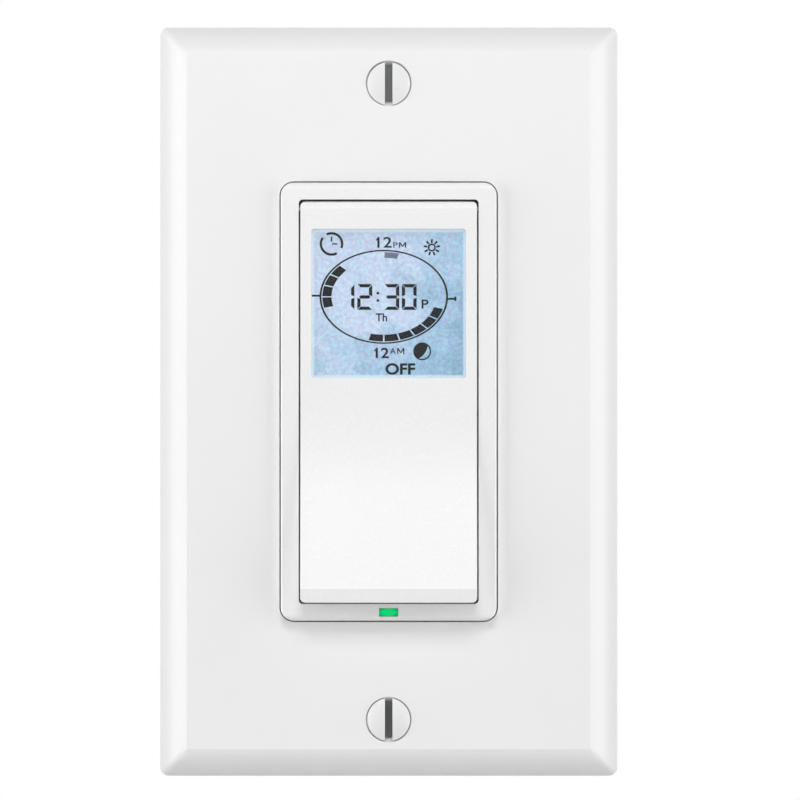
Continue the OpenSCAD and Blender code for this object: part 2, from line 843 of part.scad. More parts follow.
module mounting_strap() {
    color("lightgray") difference() {
        union() {
            linear_extrude(strap_t) strap_outline();
            at_ends(plate_screw_y) rod(thread_boss_r, -thread_boss_h, strap_t);
        }
        slab(window_cut_w, window_cut_h, pocket_r, -over, strap_t + over);
        at_ends(plate_screw_y) rod(screw_r, -far, far);
        at_ends(box_screw_y) translate([0, 0, -over]) linear_extrude(strap_t + 2 * over) {
            square([box_slot_len - 2 * box_slot_r, 2 * box_slot_r], center = true);
            for (x = [-1, 1]) translate([x * (box_slot_len / 2 - box_slot_r), 0]) circle(box_slot_r);
        }
        at_corners(stake_x, stake_y) rod(stake_r + stake_gap, -over, strap_t + over);
        at_corners(boss_x, boss_y) rod(housing_screw_r + seat_gap, -over, strap_t + over);
        translate([lug_x, lug_y, 0]) rod(screw_r, -over, strap_t + over);
    }
}

// Slotted round head on the front side of low, with its slot cut in
module slotted_head(r, low, high) {
    difference() {
        intersection() {
            rod(r, low, high);
            translate([0, 0, high - head_dome * r]) sphere(head_dome * r, $fn = 96);
        }
        block(slot_w, far, (low + high) / 2, high + over);
    }
}

module box_screw() {
    slotted_head(box_head_r, strap_t, strap_t + box_head_h);
    rod(box_neck_r, -retainer_t, strap_t + box_head_h / 4);
    rod(screw_r, -box_screw_len, -retainer_t);
}

module box_screws() { color("silver") at_ends(box_screw_y) box_screw(); }

module screw_retainers() {
    color("peru") at_ends(box_screw_y) difference() {
        slab(retainer_w, retainer_h, retainer_corner_r, -retainer_t, 0);
        rod(box_neck_r + seat_gap, -retainer_t - over, over);
    }
}

module ground_screw() {
    color("green") translate([lug_x, lug_y, 0]) {
        mirror([0, 0, 1]) slotted_head(ground_head_r, 0, ground_head_h);
        rod(screw_r - seat_gap, -ground_head_h / 4, strap_t + ground_tip);
    }
}

// Rear housing

module at_notches() {
    for (side = [0, 1]) mirror([side, 0, 0]) at_ends(notch_y) children();
}

// Block from x outwards past the housing's side, with grow added round it
module notch_block(x, grow) {
    translate([x, -notch_h / 2 - grow, -far]) cube([far, notch_h + 2 * grow, far - notch_z + grow]);
}

module housing_inside() {
    difference() {
        slab(housing_in_w, housing_in_h, housing_r / 2, -housing_d + housing_wall, over);
        at_notches() {
            notch_block(notch_x - notch_wall, notch_wall);
            translate([housing_in_w / 2 - rest_w, -rest_h / 2, shelf_z - over])
                cube([far, rest_h, main_back - shelf_z + over]);
            translate([notch_x - terminal_tip - notch_wall, 0, terminal_z]) rotate([0, 90, 0])
                cylinder(r = terminal_well_r + notch_wall, h = far);
        }
        for (i = [0, 1], j = [0, 1]) mirror([i, 0, 0]) mirror([0, j, 0])
            translate([boss_x, boss_y, -far]) linear_extrude(2 * far) corner_post();
    }
}

// Outline of a screw post that fills the housing's corner
module corner_post() {
    circle(boss_r);
    translate([0, -boss_r]) square(2 * boss_r);
    translate([-boss_r, 0]) square(2 * boss_r);
}

// Section with its two back edges rounded
module housing_section(half) {
    translate([-half, housing_back_r - housing_d]) square([2 * half, housing_d - housing_back_r]);
    translate([housing_back_r - half, -housing_d]) square([2 * (half - housing_back_r), housing_d]);
    for (side = [-1, 1]) translate([side * (half - housing_back_r), housing_back_r - housing_d])
        circle(housing_back_r);
}

module rear_housing() {
    color("dimgray") difference() {
        intersection() {
            slab(housing_w, housing_h, housing_r, -housing_d, 0);
            along_y(housing_h + over) housing_section(housing_w / 2);
            along_x(housing_w + over) housing_section(housing_h / 2);
        }
        housing_inside();
        at_notches() {
            notch_block(notch_x, 0);
            translate([notch_x - seat_gap, -tail_h / 2 - loose_gap, -notch_z - over])
                cube([contact_t + 2 * seat_gap, tail_h + 2 * loose_gap, notch_z + main_back + 2 * over]);
            translate([notch_x - terminal_tip, 0, terminal_z]) rotate([0, 90, 0])
                cylinder(r = terminal_well_r, h = far);
        }
        at_corners(boss_x, boss_y) {
            rod(housing_screw_r + loose_gap, -far, over);
            rod(bore_r, -far, bore_z);
        }
    }
}

module housing_screws() {
    color("silver") at_corners(boss_x, boss_y) {
        translate([0, 0, bore_z]) mirror([0, 0, 1]) slotted_head(housing_head_r, 0, housing_head_h);
        rod(housing_screw_r, bore_z - housing_head_h / 4, strap_t);
    }
}

// Boards and parts inside the housing

module board_blank(low, high) {
    difference() {
        block(main_w, main_h, low, high);
        at_corners(boss_x, boss_y)
            block(2 * (boss_r + loose_gap), 2 * (boss_r + loose_gap), low - over, high + over);
    }
}

module main_board() { color("darkgreen") board_blank(main_back, main_front); }

module barrier() {
    leg_x = main_w / 2 - barrier_leg / 2;
    color("ivory") {
        difference() {
            board_blank(barrier_back, barrier_front);
            translate([0, plug_y, 0])
                block(plug_w + 2 * loose_gap, plug_h + 2 * loose_gap,
                    barrier_back - over, barrier_front + over);
        }
        at_corners(leg_x, notch_y / 2) block(barrier_leg, barrier_leg, main_front, 0);
    }
}

module relay() {
    color("royalblue") translate([0, notch_y, 0])
        slab(relay_size[0], relay_size[1], case_corner_r, main_back - relay_size[2], main_back);
}

module film_capacitor() {
    color("gold") translate([0, film_cap_y, 0])
        slab(film_cap_size[0], film_cap_size[1], case_corner_r, main_back - film_cap_size[2], main_back);
}

// Upright can with the groove that seals its foot
module smoothing_capacitor() {
    color("midnightblue") translate([can_x, can_rise - notch_y, 0]) difference() {
        rod(can_r, main_back - can_h, main_back);
        translate([0, 0, main_back - 2 * groove_t]) difference() {
            rod(can_r + over, 0, groove_t);
            rod(can_r - groove_depth, -over, groove_t + over);
        }
    }
}

module backup_capacitor() {
    color("black") translate([coin_x, coin_rise - notch_y, 0]) rod(coin_r, main_back - coin_h, main_back);
}

// Disc that stands on its two leads
module surge_disc() {
    color("steelblue") translate([0, disc_y, main_back - disc_r - disc_lift]) {
        rotate([90, 0, 0]) cylinder(r = disc_r, h = disc_t, center = true);
        for (x = [-1, 1]) translate([x * lead_pitch / 2, 0, 0]) rod(lead_r, 0, disc_r + disc_lift);
    }
}

module fuse_resistor() {
    color("tan") translate([0, fuse_y, main_back - fuse_r]) rotate([0, 90, 0])
        cylinder(r = fuse_r, h = fuse_len, center = true);
}

// Terminals

module terminal_contacts() {
    color("goldenrod") at_notches() difference() {
        union() {
            translate([notch_x, -contact_h / 2, -notch_z - contact_len - seat_gap])
                cube([contact_t, contact_h, contact_len]);
            translate([notch_x, -tail_h / 2, -notch_z - over])
                cube([contact_t, tail_h, notch_z + main_back + over]);
        }
        translate([0, 0, terminal_z]) rotate([0, 90, 0]) cylinder(r = screw_r, h = far);
    }
}

// Binding screw that stands off its contact by the thickness of a wire
module terminal_screw() {
    translate([notch_x + contact_t + wire_gap, 0, terminal_z]) rotate([0, 90, 0]) {
        slotted_head(terminal_head_r, 0, terminal_head_h);
        rod(screw_r - seat_gap, -contact_t - wire_gap - terminal_tip + seat_gap, terminal_head_h / 4);
    }
}

module line_load_screws() {
    color("goldenrod") at_ends(notch_y) terminal_screw();
}

module neutral_screws() {
    color("silver") mirror([1, 0, 0]) at_ends(notch_y) terminal_screw();
}

on_wall() wall_plate();
on_wall() plate_screws();
on_wall() front_frame();
on_wall() push_pad();
on_wall() display_window();
on_wall() hinge_rod();
on_wall() return_bail();
on_wall() key_deck();
on_wall() key_up();
on_wall() key_down();
on_wall() key_enter();
on_wall() key_back();
on_wall() plunger_up();
on_wall() plunger_down();
on_wall() plunger_enter();
on_wall() plunger_back();
on_wall() pad_plunger();
on_wall() key_switches();
on_wall() pad_switch();
on_wall() display_glass();
on_wall() display_bezel();
on_wall() light_guide();
on_wall() backlight_lamps();
on_wall() connector_strips();
on_wall() display_board();
on_wall() indicator_lamp();
on_wall() indicator_pipe();
on_wall() controller_chip();
on_wall() clock_crystal();
on_wall() board_header();
on_wall() board_socket();
on_wall() mounting_strap();
on_wall() box_screws();
on_wall() screw_retainers();
on_wall() ground_screw();
on_wall() rear_housing();
on_wall() housing_screws();
on_wall() barrier();
on_wall() main_board();
on_wall() relay();
on_wall() film_capacitor();
on_wall() smoothing_capacitor();
on_wall() backup_capacitor();
on_wall() surge_disc();
on_wall() fuse_resistor();
on_wall() terminal_contacts();
on_wall() line_load_screws();
on_wall() neutral_screws();
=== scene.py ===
import math

import bpy
from mathutils import Matrix, Vector


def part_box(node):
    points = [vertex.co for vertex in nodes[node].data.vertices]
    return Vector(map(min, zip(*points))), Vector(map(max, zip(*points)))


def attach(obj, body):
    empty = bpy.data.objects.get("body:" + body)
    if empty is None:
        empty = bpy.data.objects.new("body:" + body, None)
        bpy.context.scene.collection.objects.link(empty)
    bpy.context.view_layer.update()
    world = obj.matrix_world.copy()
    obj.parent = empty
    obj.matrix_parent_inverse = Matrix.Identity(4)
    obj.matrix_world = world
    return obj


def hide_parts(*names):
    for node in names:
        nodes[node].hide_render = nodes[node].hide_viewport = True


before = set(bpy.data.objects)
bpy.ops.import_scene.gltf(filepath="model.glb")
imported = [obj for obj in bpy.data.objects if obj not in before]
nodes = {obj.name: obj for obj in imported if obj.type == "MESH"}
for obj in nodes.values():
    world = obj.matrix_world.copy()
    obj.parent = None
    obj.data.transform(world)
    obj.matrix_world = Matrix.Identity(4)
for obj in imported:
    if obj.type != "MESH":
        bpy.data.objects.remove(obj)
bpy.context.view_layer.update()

bpy.context.scene.view_settings.view_transform = "Standard"


# Camera. The photograph looks straight at the plate from about a metre away through a long lens,
# with the plate a little to the left of the middle.
MM = 0.001
camera_far = 1000 * MM
view_width = 122.4 * MM
aside, above = 1.72 * MM, 0.25 * MM
bpy.ops.object.camera_add(location=(aside, -camera_far, above), rotation=(math.radians(90), 0, 0))
camera = bpy.context.object
camera.name = "front_camera"
camera.data.sensor_width = 36
camera.data.lens = camera.data.sensor_width * camera_far / view_width
bpy.context.scene.camera = camera


# Studio. A white cove stands behind the switch and the room is dim on the camera's side. Two tall soft
# lamps light it from the sides, a small one just above the camera and a broad one high in front, and a pale
# board makes the floor.
def srgb(code):
    """A colour code as the linear values that a shader takes."""
    channels = [int(code[i:i + 2], 16) / 255 for i in (1, 3, 5)]
    return tuple(c / 12.92 if c <= 0.04045 else ((c + 0.055) / 1.055) ** 2.4 for c in channels) + (1,)


def add(tree, kind, inputs=None, **settings):
    """A shader node with its inputs set, or linked where a socket is given."""
    made = tree.nodes.new("ShaderNode" + kind)
    for name, value in settings.items():
        setattr(made, name, value)
    for name, value in (inputs or {}).items():
        if isinstance(value, bpy.types.NodeSocket):
            tree.links.new(value, made.inputs[name])
        else:
            made.inputs[name].default_value = value
    return made


def bare_material(name):
    """A material and its node tree, with nothing in it yet."""
    made = bpy.data.materials.new(name)
    made.use_nodes = True
    made.node_tree.nodes.clear()
    return made, made.node_tree


def ramp(tree, value, stops, interpolation="LINEAR"):
    """The colour that a value picks from stops, each a position and a colour."""
    made = add(tree, "ValToRGB", {"Fac": value})
    elements = made.color_ramp.elements
    made.color_ramp.interpolation = interpolation
    for element, (position, colour) in zip(elements, stops):
        element.position = position
        element.color = colour
    for position, colour in stops[2:]:
        elements.new(position).color = colour
    return made.outputs["Color"]


room_level, cove_level = 0.07, 0.68
cove_starts, cove_full = 0.1, 0.75
white = (1, 1, 1, 1)
studio = bpy.data.worlds.new("white_cove")
studio.use_nodes = True
bpy.context.scene.world = studio
tree = studio.node_tree
tree.nodes.clear()
path = add(tree, "LightPath").outputs
plain = add(tree, "Math", {0: path["Is Camera Ray"], 1: path["Is Transmission Ray"]},
            operation="MAXIMUM").outputs[0]
cove = add(tree, "Math", {0: path["Is Glossy Ray"], 1: 1 - cove_level, 2: cove_level},
           operation="MULTIPLY_ADD").outputs[0]
behind = add(tree, "SeparateXYZ", {"Vector": add(tree, "TexCoord").outputs["Generated"]}).outputs["Y"]
level = add(tree, "MapRange", {"Value": behind, "From Min": cove_starts, "From Max": cove_full,
                               "To Min": room_level, "To Max": cove}).outputs["Result"]
surround = add(tree, "Background", {"Color": white, "Strength": level}).outputs[0]
backdrop = add(tree, "Background", {"Color": white, "Strength": 1}).outputs[0]
both = add(tree, "MixShader", {0: plain, 1: surround, 2: backdrop}).outputs[0]
add(tree, "OutputWorld", {"Surface": both})


def soft_lamp(name, place, size, watts, mirrored=True):
    """A lamp in metres and watts, aimed at the switch; one that isn't mirrored leaves no highlight."""
    bpy.ops.object.light_add(type="AREA", location=place)
    lamp = bpy.context.object
    lamp.name = name
    lamp.rotation_euler = (-Vector(place)).to_track_quat("-Z", "Y").to_euler()
    lamp.data.shape = "RECTANGLE"
    lamp.data.size, lamp.data.size_y = size
    lamp.data.energy = watts
    lamp.visible_glossy = mirrored


soft_lamp("top_lamp", (0, -0.95, 0.31), (0.3, 0.25), 0.88)
soft_lamp("key_lamp", (0, -0.69, 0.72), (0.5, 0.28), 4.5, mirrored=False)
soft_lamp("left_lamp", (-0.92, -0.39, 0.05), (0.8, 1.0), 6.5)
soft_lamp("right_lamp", (0.92, -0.39, 0.05), (0.8, 1.0), 6.0)

floor_drop, floor_size, floor_lift = 500 * MM, 9, 0.6
bpy.ops.mesh.primitive_plane_add(size=floor_size, location=(0, 0, -floor_drop))
floor = bpy.context.object
floor.name = "pale_floor"
bpy.ops.object.transform_apply(location=True, rotation=True, scale=True)
# Matt paint rolled on board: an even pale grey with the roller's faint dimples, bright as a lit cove.
board_paint, tree = bare_material("matt_painted_board")
place = add(tree, "TexCoord").outputs["Object"]
roller = add(tree, "TexNoise", {"Vector": place, "Scale": 1 / (6 * MM), "Detail": 3}).outputs["Fac"]
tone = ramp(tree, roller, [(0, srgb("#d9d9d9")), (1, srgb("#e2e2e2"))])
dimple = add(tree, "Bump", {"Height": roller, "Strength": 0.2, "Distance": 0.1 * MM}).outputs["Normal"]
paint = add(tree, "BsdfPrincipled", {"Base Color": tone, "Roughness": 0.85, "Normal": dimple}).outputs[0]
path = add(tree, "LightPath").outputs
seen = add(tree, "Math", {0: path["Is Camera Ray"], 1: floor_lift}, operation="MULTIPLY").outputs[0]
pale = add(tree, "Emission", {"Color": white, "Strength": 1}).outputs[0]
add(tree, "OutputMaterial", {"Surface": add(tree, "MixShader", {0: seen, 1: paint, 2: pale}).outputs[0]})
floor.data.materials.append(board_paint)


# Rear housing. A deep box of black glass-filled nylon that holds the boards, moulded in one shot, with a
# notch in each side for every terminal and a counterbore at each corner for the screws to the strap.
def moulded(name, colour, roughness, grain_mm, relief_mm, shade=0.05, ior=1.53):
    """A moulded plastic: fine tool grain in its gloss and relief, and slow flow marks in its colour."""
    flow_mm, gloss_spread = 18, 0.12
    plastic, tree = bare_material(name)
    place = add(tree, "TexCoord").outputs["Object"]
    grain = add(tree, "TexNoise", {"Vector": place, "Scale": 1 / (grain_mm * MM), "Detail": 4}).outputs["Fac"]
    flow = add(tree, "TexNoise", {"Vector": place, "Scale": 1 / (flow_mm * MM), "Detail": 2}).outputs["Fac"]
    full = srgb(colour)
    dull = tuple(c * (1 - shade) for c in full[:3]) + (1,)
    tone = ramp(tree, flow, [(0.3, dull), (0.7, full)])
    gloss = add(tree, "MapRange", {"Value": grain, "From Min": 0.3, "From Max": 0.7,
                                   "To Min": roughness * (1 - gloss_spread),
                                   "To Max": roughness * (1 + gloss_spread)}).outputs["Result"]
    relief = add(tree, "Bump", {"Height": grain, "Strength": 0.35, "Distance": relief_mm * MM})
    skin = add(tree, "BsdfPrincipled", {"Base Color": tone, "Roughness": gloss, "IOR": ior,
                                        "Normal": relief.outputs["Normal"]})
    add(tree, "OutputMaterial", {"Surface": skin.outputs[0]})
    return plastic


weld = 0.002 * MM
nearly_flat, sharp_edge = math.radians(0.5), math.radians(40)


def blank(node):
    """A copy of a CAD node, merged into one skin and ready to be worked on."""
    bpy.ops.object.select_all(action="DESELECT")
    piece = bpy.data.objects.new(node + "_finished", nodes[node].data.copy())
    bpy.context.collection.objects.link(piece)
    bpy.context.view_layer.objects.active = piece
    piece.select_set(True)
    bpy.ops.mesh.customdata_custom_splitnormals_clear()
    bpy.ops.object.mode_set(mode="EDIT")
    bpy.ops.mesh.select_all(action="SELECT")
    bpy.ops.mesh.remove_doubles(threshold=weld)
    bpy.ops.mesh.dissolve_limited(angle_limit=nearly_flat)
    bpy.ops.mesh.select_all(action="DESELECT")
    bpy.ops.object.mode_set(mode="OBJECT")
    return piece


def eased(piece, node, body, material, edge_mm, crease=30):
    """Breaks a piece's sharp edges, as its mould or press leaves them, and puts it in its node's place."""
    bpy.ops.object.shade_smooth_by_angle(angle=math.radians(crease))
    rounding = piece.modifiers.new("rounding", "BEVEL")
    rounding.width = edge_mm * MM
    rounding.segments = 2
    rounding.limit_method = "ANGLE"
    rounding.angle_limit = sharp_edge
    rounding.harden_normals = True
    rounding.use_clamp_overlap = False
    bpy.ops.object.modifier_apply(modifier="rounding")
    flats = piece.modifiers.new("flats", "WEIGHTED_NORMAL")
    flats.keep_sharp = True
    bpy.ops.object.modifier_apply(modifier="flats")
    piece.data.materials.clear()
    piece.data.materials.append(material)
    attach(piece, body)
    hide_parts(node)
    return piece


# Spark-eroded tools leave glass-filled nylon evenly matt, with a grain that breaks up its dark sheen.
housing_nylon = moulded("glass_filled_black_nylon", "#2a2b2d", 0.55, 0.25, 0.02, shade=0.2)
eased(blank("rear_housing"), "rear_housing", "chassis", housing_nylon, 0.05)


# Terminals. Stamped brass contacts drop into the housing's notches, each with a cold-headed binding
# screw through it: plain brass on the line and load side, nickel plated on the other.
def sheet_metal(name, colour, roughness, grain_mm, stretch, relief_mm=0.004):
    """A metal with the fine drawn-out lines of rolling or plating, along the piece's height."""
    cloud_mm, dulling, sharper, softer = 5, 0.86, 0.8, 1.25
    metal, tree = bare_material(name)
    place = add(tree, "TexCoord").outputs["Object"]
    drawn = add(tree, "Mapping", {"Vector": place, "Scale": (1, 1, 1 / stretch)}).outputs["Vector"]
    lines = add(tree, "TexNoise", {"Vector": drawn, "Scale": 1 / (grain_mm * MM), "Detail": 5}).outputs["Fac"]
    cloud = add(tree, "TexNoise", {"Vector": place, "Scale": 1 / (cloud_mm * MM), "Detail": 3}).outputs["Fac"]
    full = srgb(colour)
    dull = tuple(c * dulling for c in full[:3]) + (1,)
    tone = ramp(tree, cloud, [(0.3, dull), (0.7, full)])
    gloss = add(tree, "MapRange", {"Value": lines, "From Min": 0.3, "From Max": 0.7,
                                   "To Min": roughness * sharper, "To Max": roughness * softer})
    relief = add(tree, "Bump", {"Height": lines, "Strength": 0.25, "Distance": relief_mm * MM})
    skin = add(tree, "BsdfPrincipled", {"Base Color": tone, "Metallic": 1,
                                        "Roughness": gloss.outputs["Result"],
                                        "Normal": relief.outputs["Normal"]})
    add(tree, "OutputMaterial", {"Surface": skin.outputs[0]})
    return metal


def dress(material, *names):
    """Gives CAD nodes that keep their own shape a finish."""
    for name in names:
        for slot in nodes[name].material_slots:
            slot.material = material


def turned(steps, sides=40):
    """A round blank, drawn up from a disc at its tip through radii and heights in mm, as on a lathe."""
    bpy.ops.object.select_all(action="DESELECT")
    radius, height = steps[0]
    bpy.ops.mesh.primitive_circle_add(vertices=sides, radius=radius * MM, fill_type="NGON")
    bpy.ops.object.mode_set(mode="EDIT")
    bpy.ops.mesh.select_all(action="SELECT")
    bpy.ops.transform.translate(value=(0, 0, height * MM))
    for wider, higher in steps[1:]:
        bpy.ops.mesh.extrude_region_move(TRANSFORM_OT_translate={"value": (0, 0, (higher - height) * MM)})
        spread = (wider / radius, wider / radius, 1)
        bpy.ops.transform.resize(value=spread, center_override=(0, 0, higher * MM))
        radius, height = wider, higher
    bpy.ops.mesh.select_all(action="SELECT")
    bpy.ops.mesh.remove_doubles(threshold=weld)
    bpy.ops.mesh.normals_make_consistent(inside=False)
    bpy.ops.object.mode_set(mode="OBJECT")
    return bpy.context.object


def dome(radius, edge, top, rings=7, flat_r=0.05):
    """Radii and heights over a head's crown, from its edge up to a small flat at its top."""
    rise = top - edge
    ball = (radius ** 2 + rise ** 2) / (2 * rise)
    lean = math.asin(radius / ball)
    turns = [lean * (1 - ring / rings) for ring in range(1, rings)]
    return [(ball * math.sin(turn), top - ball + ball * math.cos(turn)) for turn in turns] + [(flat_r, top)]


def shank(core, tip, top, point=0.8, run_in=0.45):
    """Radii and heights of a screw's core, from its blunt point up to its head."""
    return [(point, tip), (core, tip + run_in), (core, top)]


def head(radius, low, face, crown):
    """Radii and heights of a round head whose side ends a crown's height under its face."""
    return [(radius, low), (radius, face - crown)] + dome(radius, face - crown, face)


def rolled_thread(crest, low, high, pitch, sides=20):
    """A closed helical ridge of 60 degree section on a core, from low to high along the screw."""
    sunk, foot, tip = 0.05, 0.46 * pitch, 0.07 * pitch
    root = crest - 0.6 * pitch - sunk
    bpy.ops.object.select_all(action="DESELECT")
    bpy.ops.mesh.primitive_circle_add(vertices=4, radius=1, fill_type="NOTHING")
    ridge = bpy.context.object
    section = [(root, -foot), (crest, -tip), (crest, tip), (root, foot)]
    for vertex, (reach, height) in zip(ridge.data.vertices, section):
        vertex.co = (reach * MM, 0, (low + foot + height) * MM)
    wind = ridge.modifiers.new("wind", "SCREW")
    wind.axis = "Z"
    wind.angle = 2 * math.pi
    wind.screw_offset = pitch * MM
    wind.iterations = int((high - low - 2 * foot) / pitch)
    wind.steps = wind.render_steps = sides
    bpy.ops.object.modifier_apply(modifier="wind")
    bpy.ops.object.mode_set(mode="EDIT")
    bpy.ops.mesh.select_all(action="SELECT")
    bpy.ops.mesh.remove_doubles(threshold=weld)
    bpy.ops.mesh.fill_holes(sides=4)
    bpy.ops.mesh.select_all(action="SELECT")
    bpy.ops.mesh.normals_make_consistent(inside=False)
    bpy.ops.object.mode_set(mode="OBJECT")
    return ridge


slot_w, screw_crease = 1.15, math.radians(35)


def slotted_screw(name, steps, slot_floor, thread, material):
    """A machine screw along +Z: a turned blank with a sawn slot in its head and a rolled thread."""
    screw = turned(steps)
    screw.name = name
    reach, top = max(radius for radius, height in steps), steps[-1][1]
    depth, through = top - slot_floor, 2.4 * reach
    proud = 0.001 * depth
    bpy.ops.mesh.primitive_cube_add(size=1, location=(0, 0, (slot_floor + top) / 2 * MM))
    blade = bpy.context.object
    blade.scale = (slot_w * MM, through * MM, depth * MM)
    bpy.ops.object.transform_apply(location=False, rotation=False, scale=True)
    blade.location.z += proud * MM
    bpy.context.view_layer.objects.active = screw
    sawn = screw.modifiers.new("slot", "BOOLEAN")
    sawn.operation = "DIFFERENCE"
    sawn.object = blade
    bpy.ops.object.modifier_apply(modifier="slot")
    bpy.data.objects.remove(blade)
    ridge = rolled_thread(*thread)
    bpy.ops.object.select_all(action="DESELECT")
    ridge.select_set(True)
    screw.select_set(True)
    bpy.context.view_layer.objects.active = screw
    bpy.ops.object.join()
    bpy.ops.object.shade_smooth_by_angle(angle=screw_crease)
    screw.data.materials.clear()
    screw.data.materials.append(material)
    return screw


def fit_screws(screw, node, places):
    """Puts a screw in the first place and copies of it in the others, for the CAD node they replace."""
    copies = [screw]
    for number in range(1, len(places)):
        copy = bpy.data.objects.new(f"{screw.name}_{number + 1}", screw.data.copy())
        bpy.context.collection.objects.link(copy)
        copies.append(copy)
    for piece, where in zip(copies, places):
        bpy.ops.object.select_all(action="DESELECT")
        piece.matrix_world = where
        piece.select_set(True)
        bpy.context.view_layer.objects.active = piece
        bpy.ops.object.transform_apply(location=True, rotation=True, scale=True)
        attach(piece, "chassis")
        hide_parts(node)


# Rolled brass is warm and soft-bright with fine lines; nickel over it is paler and a little sharper.
brass = sheet_metal("rolled_brass", "#d9b264", 0.3, 0.12, 8)
nickel = sheet_metal("nickel_plate", "#d4d2cc", 0.26, 0.1, 3)
dress(brass, "terminal_contacts")

machine_core, machine_crest, machine_pitch, lead_in = 1.24, 1.7, 0.794, 0.2
binding = (("line_load_screws", "brass", brass, 1), ("neutral_screws", "steel", nickel, -1))
for node, slot, metal, side in binding:
    low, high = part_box(node)
    head_r = (high.y - low.y) / 2 / MM
    face = max(abs(low.x), abs(high.x)) / MM
    tip = min(abs(low.x), abs(high.x)) / MM
    head_low, crown, slot_depth = face - 2, 0.86, 1
    steps = shank(machine_core, tip, head_low) + head(head_r, head_low, face, crown)
    screw = slotted_screw(node.replace("screws", "screw"), steps, face - slot_depth,
                          (machine_crest, tip + lead_in, head_low, machine_pitch), metal)
    outward = Matrix.Rotation(math.radians(90 * side), 4, "Y") @ Matrix.Rotation(math.radians(90), 4, "Z")
    across = (low.y + high.y) / 2
    rise = high.z - head_r * MM
    fit_screws(screw, node, [Matrix.Translation((0, across, z)) @ outward for z in (rise, -rise)])


# Main board and its parts. Green lacquered glass-epoxy with a sealed relay, a boxed film capacitor,
# a sleeved can, a coin-shaped backup capacitor, a dipped disc and a cement resistor soldered to it.
# Solder lacquer over copper: glossy green, paler where a track lies under it, on a faint cloth weave.
board_green, tree = bare_material("lacquered_glass_epoxy")
place = add(tree, "TexCoord").outputs["Object"]
upright = add(tree, "Mapping", {"Vector": place, "Rotation": (math.radians(90), 0, 0)}).outputs["Vector"]
tracks = add(tree, "TexBrick", {"Vector": upright, "Scale": 1 / (9 * MM), "Mortar Size": 0.09,
                                "Mortar Smooth": 0.1, "Brick Width": 0.7, "Row Height": 0.3},
             offset=0.35).outputs["Fac"]
lacquer = ramp(tree, tracks, [(0, srgb("#155a33")), (1, srgb("#2c8049"))])
cloth = add(tree, "TexWave", {"Vector": place, "Scale": 1 / (2.2 * MM), "Distortion": 1.5}).outputs["Fac"]
edge = add(tree, "Bump", {"Height": tracks, "Strength": 0.6, "Distance": 0.035 * MM}).outputs["Normal"]
gloss = add(tree, "MapRange", {"Value": cloth, "To Min": 0.22, "To Max": 0.34}).outputs["Result"]
skin = add(tree, "BsdfPrincipled", {"Base Color": lacquer, "Roughness": gloss, "Normal": edge})
add(tree, "OutputMaterial", {"Surface": skin.outputs[0]})
dress(board_green, "main_board", "display_board")

# Moulded cases are satin, a shrunk vinyl sleeve is tight and glossy, and dipped epoxy is wavy and
# wet-looking.
dress(moulded("sealed_relay_polyester", "#2f63b5", 0.38, 0.3, 0.012), "relay")
dress(moulded("film_capacitor_polyester", "#e0b73c", 0.4, 0.3, 0.012), "film_capacitor")
dress(moulded("shrunk_vinyl_sleeve", "#232942", 0.3, 0.5, 0.01), "smoothing_capacitor")
dress(moulded("backup_capacitor_sleeve", "#26272b", 0.34, 0.5, 0.01), "backup_capacitor")
dress(moulded("dipped_blue_epoxy", "#3f7cbc", 0.24, 1.2, 0.05), "surge_disc")

# Cement coat on a wound rod: gritty tan with painted value bands round it.
low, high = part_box("fuse_resistor")
cement, tree = bare_material("banded_cement_coat")
place = add(tree, "TexCoord").outputs["Object"]
height = add(tree, "SeparateXYZ", {"Vector": place}).outputs["Z"]
along = add(tree, "MapRange", {"Value": height, "From Min": low.z, "From Max": high.z}).outputs["Result"]
tan, brown, black, gold = (srgb(code) for code in ("#c9ac7c", "#5a3a22", "#262422", "#b58a2e"))
bands = ramp(tree, along, [(0, tan), (0.2, brown), (0.28, tan), (0.38, black), (0.46, tan), (0.56, gold),
                           (0.64, tan)], interpolation="CONSTANT")
grit = add(tree, "TexNoise", {"Vector": place, "Scale": 1 / (0.4 * MM), "Detail": 4}).outputs["Fac"]
relief = add(tree, "Bump", {"Height": grit, "Strength": 0.5, "Distance": 0.03 * MM}).outputs["Normal"]
skin = add(tree, "BsdfPrincipled", {"Base Color": bands, "Roughness": 0.62, "Normal": relief})
add(tree, "OutputMaterial", {"Surface": skin.outputs[0]})
dress(cement, "fuse_resistor")


# Barrier. A moulded plate of ivory nylon that keeps fingers and stray wires off the main board; unfilled
# nylon is waxy and slightly yellow.
dress(moulded("ivory_nylon", "#ded8c4", 0.5, 0.4, 0.02), "barrier")


# Mounting strap. Stamped sheet steel, zinc plated, that carries the frame in front and the housing behind,
# with break-off ears, threaded holes for the plate screws and a lug for the ground screw.
# Zinc plate is a cool grey mirror gone dull, with the sheet's rolling lines still in it.
zinc = sheet_metal("zinc_plated_steel", "#c9ccce", 0.34, 0.16, 5, 0.006)
eased(blank("mounting_strap"), "mounting_strap", "chassis", zinc, 0.12)

# Vulcanised fibre is punched from hard brown board, matt and faintly fibrous.
dress(moulded("red_brown_fibre", "#8b5a3a", 0.7, 0.35, 0.03, shade=0.2), "screw_retainers")

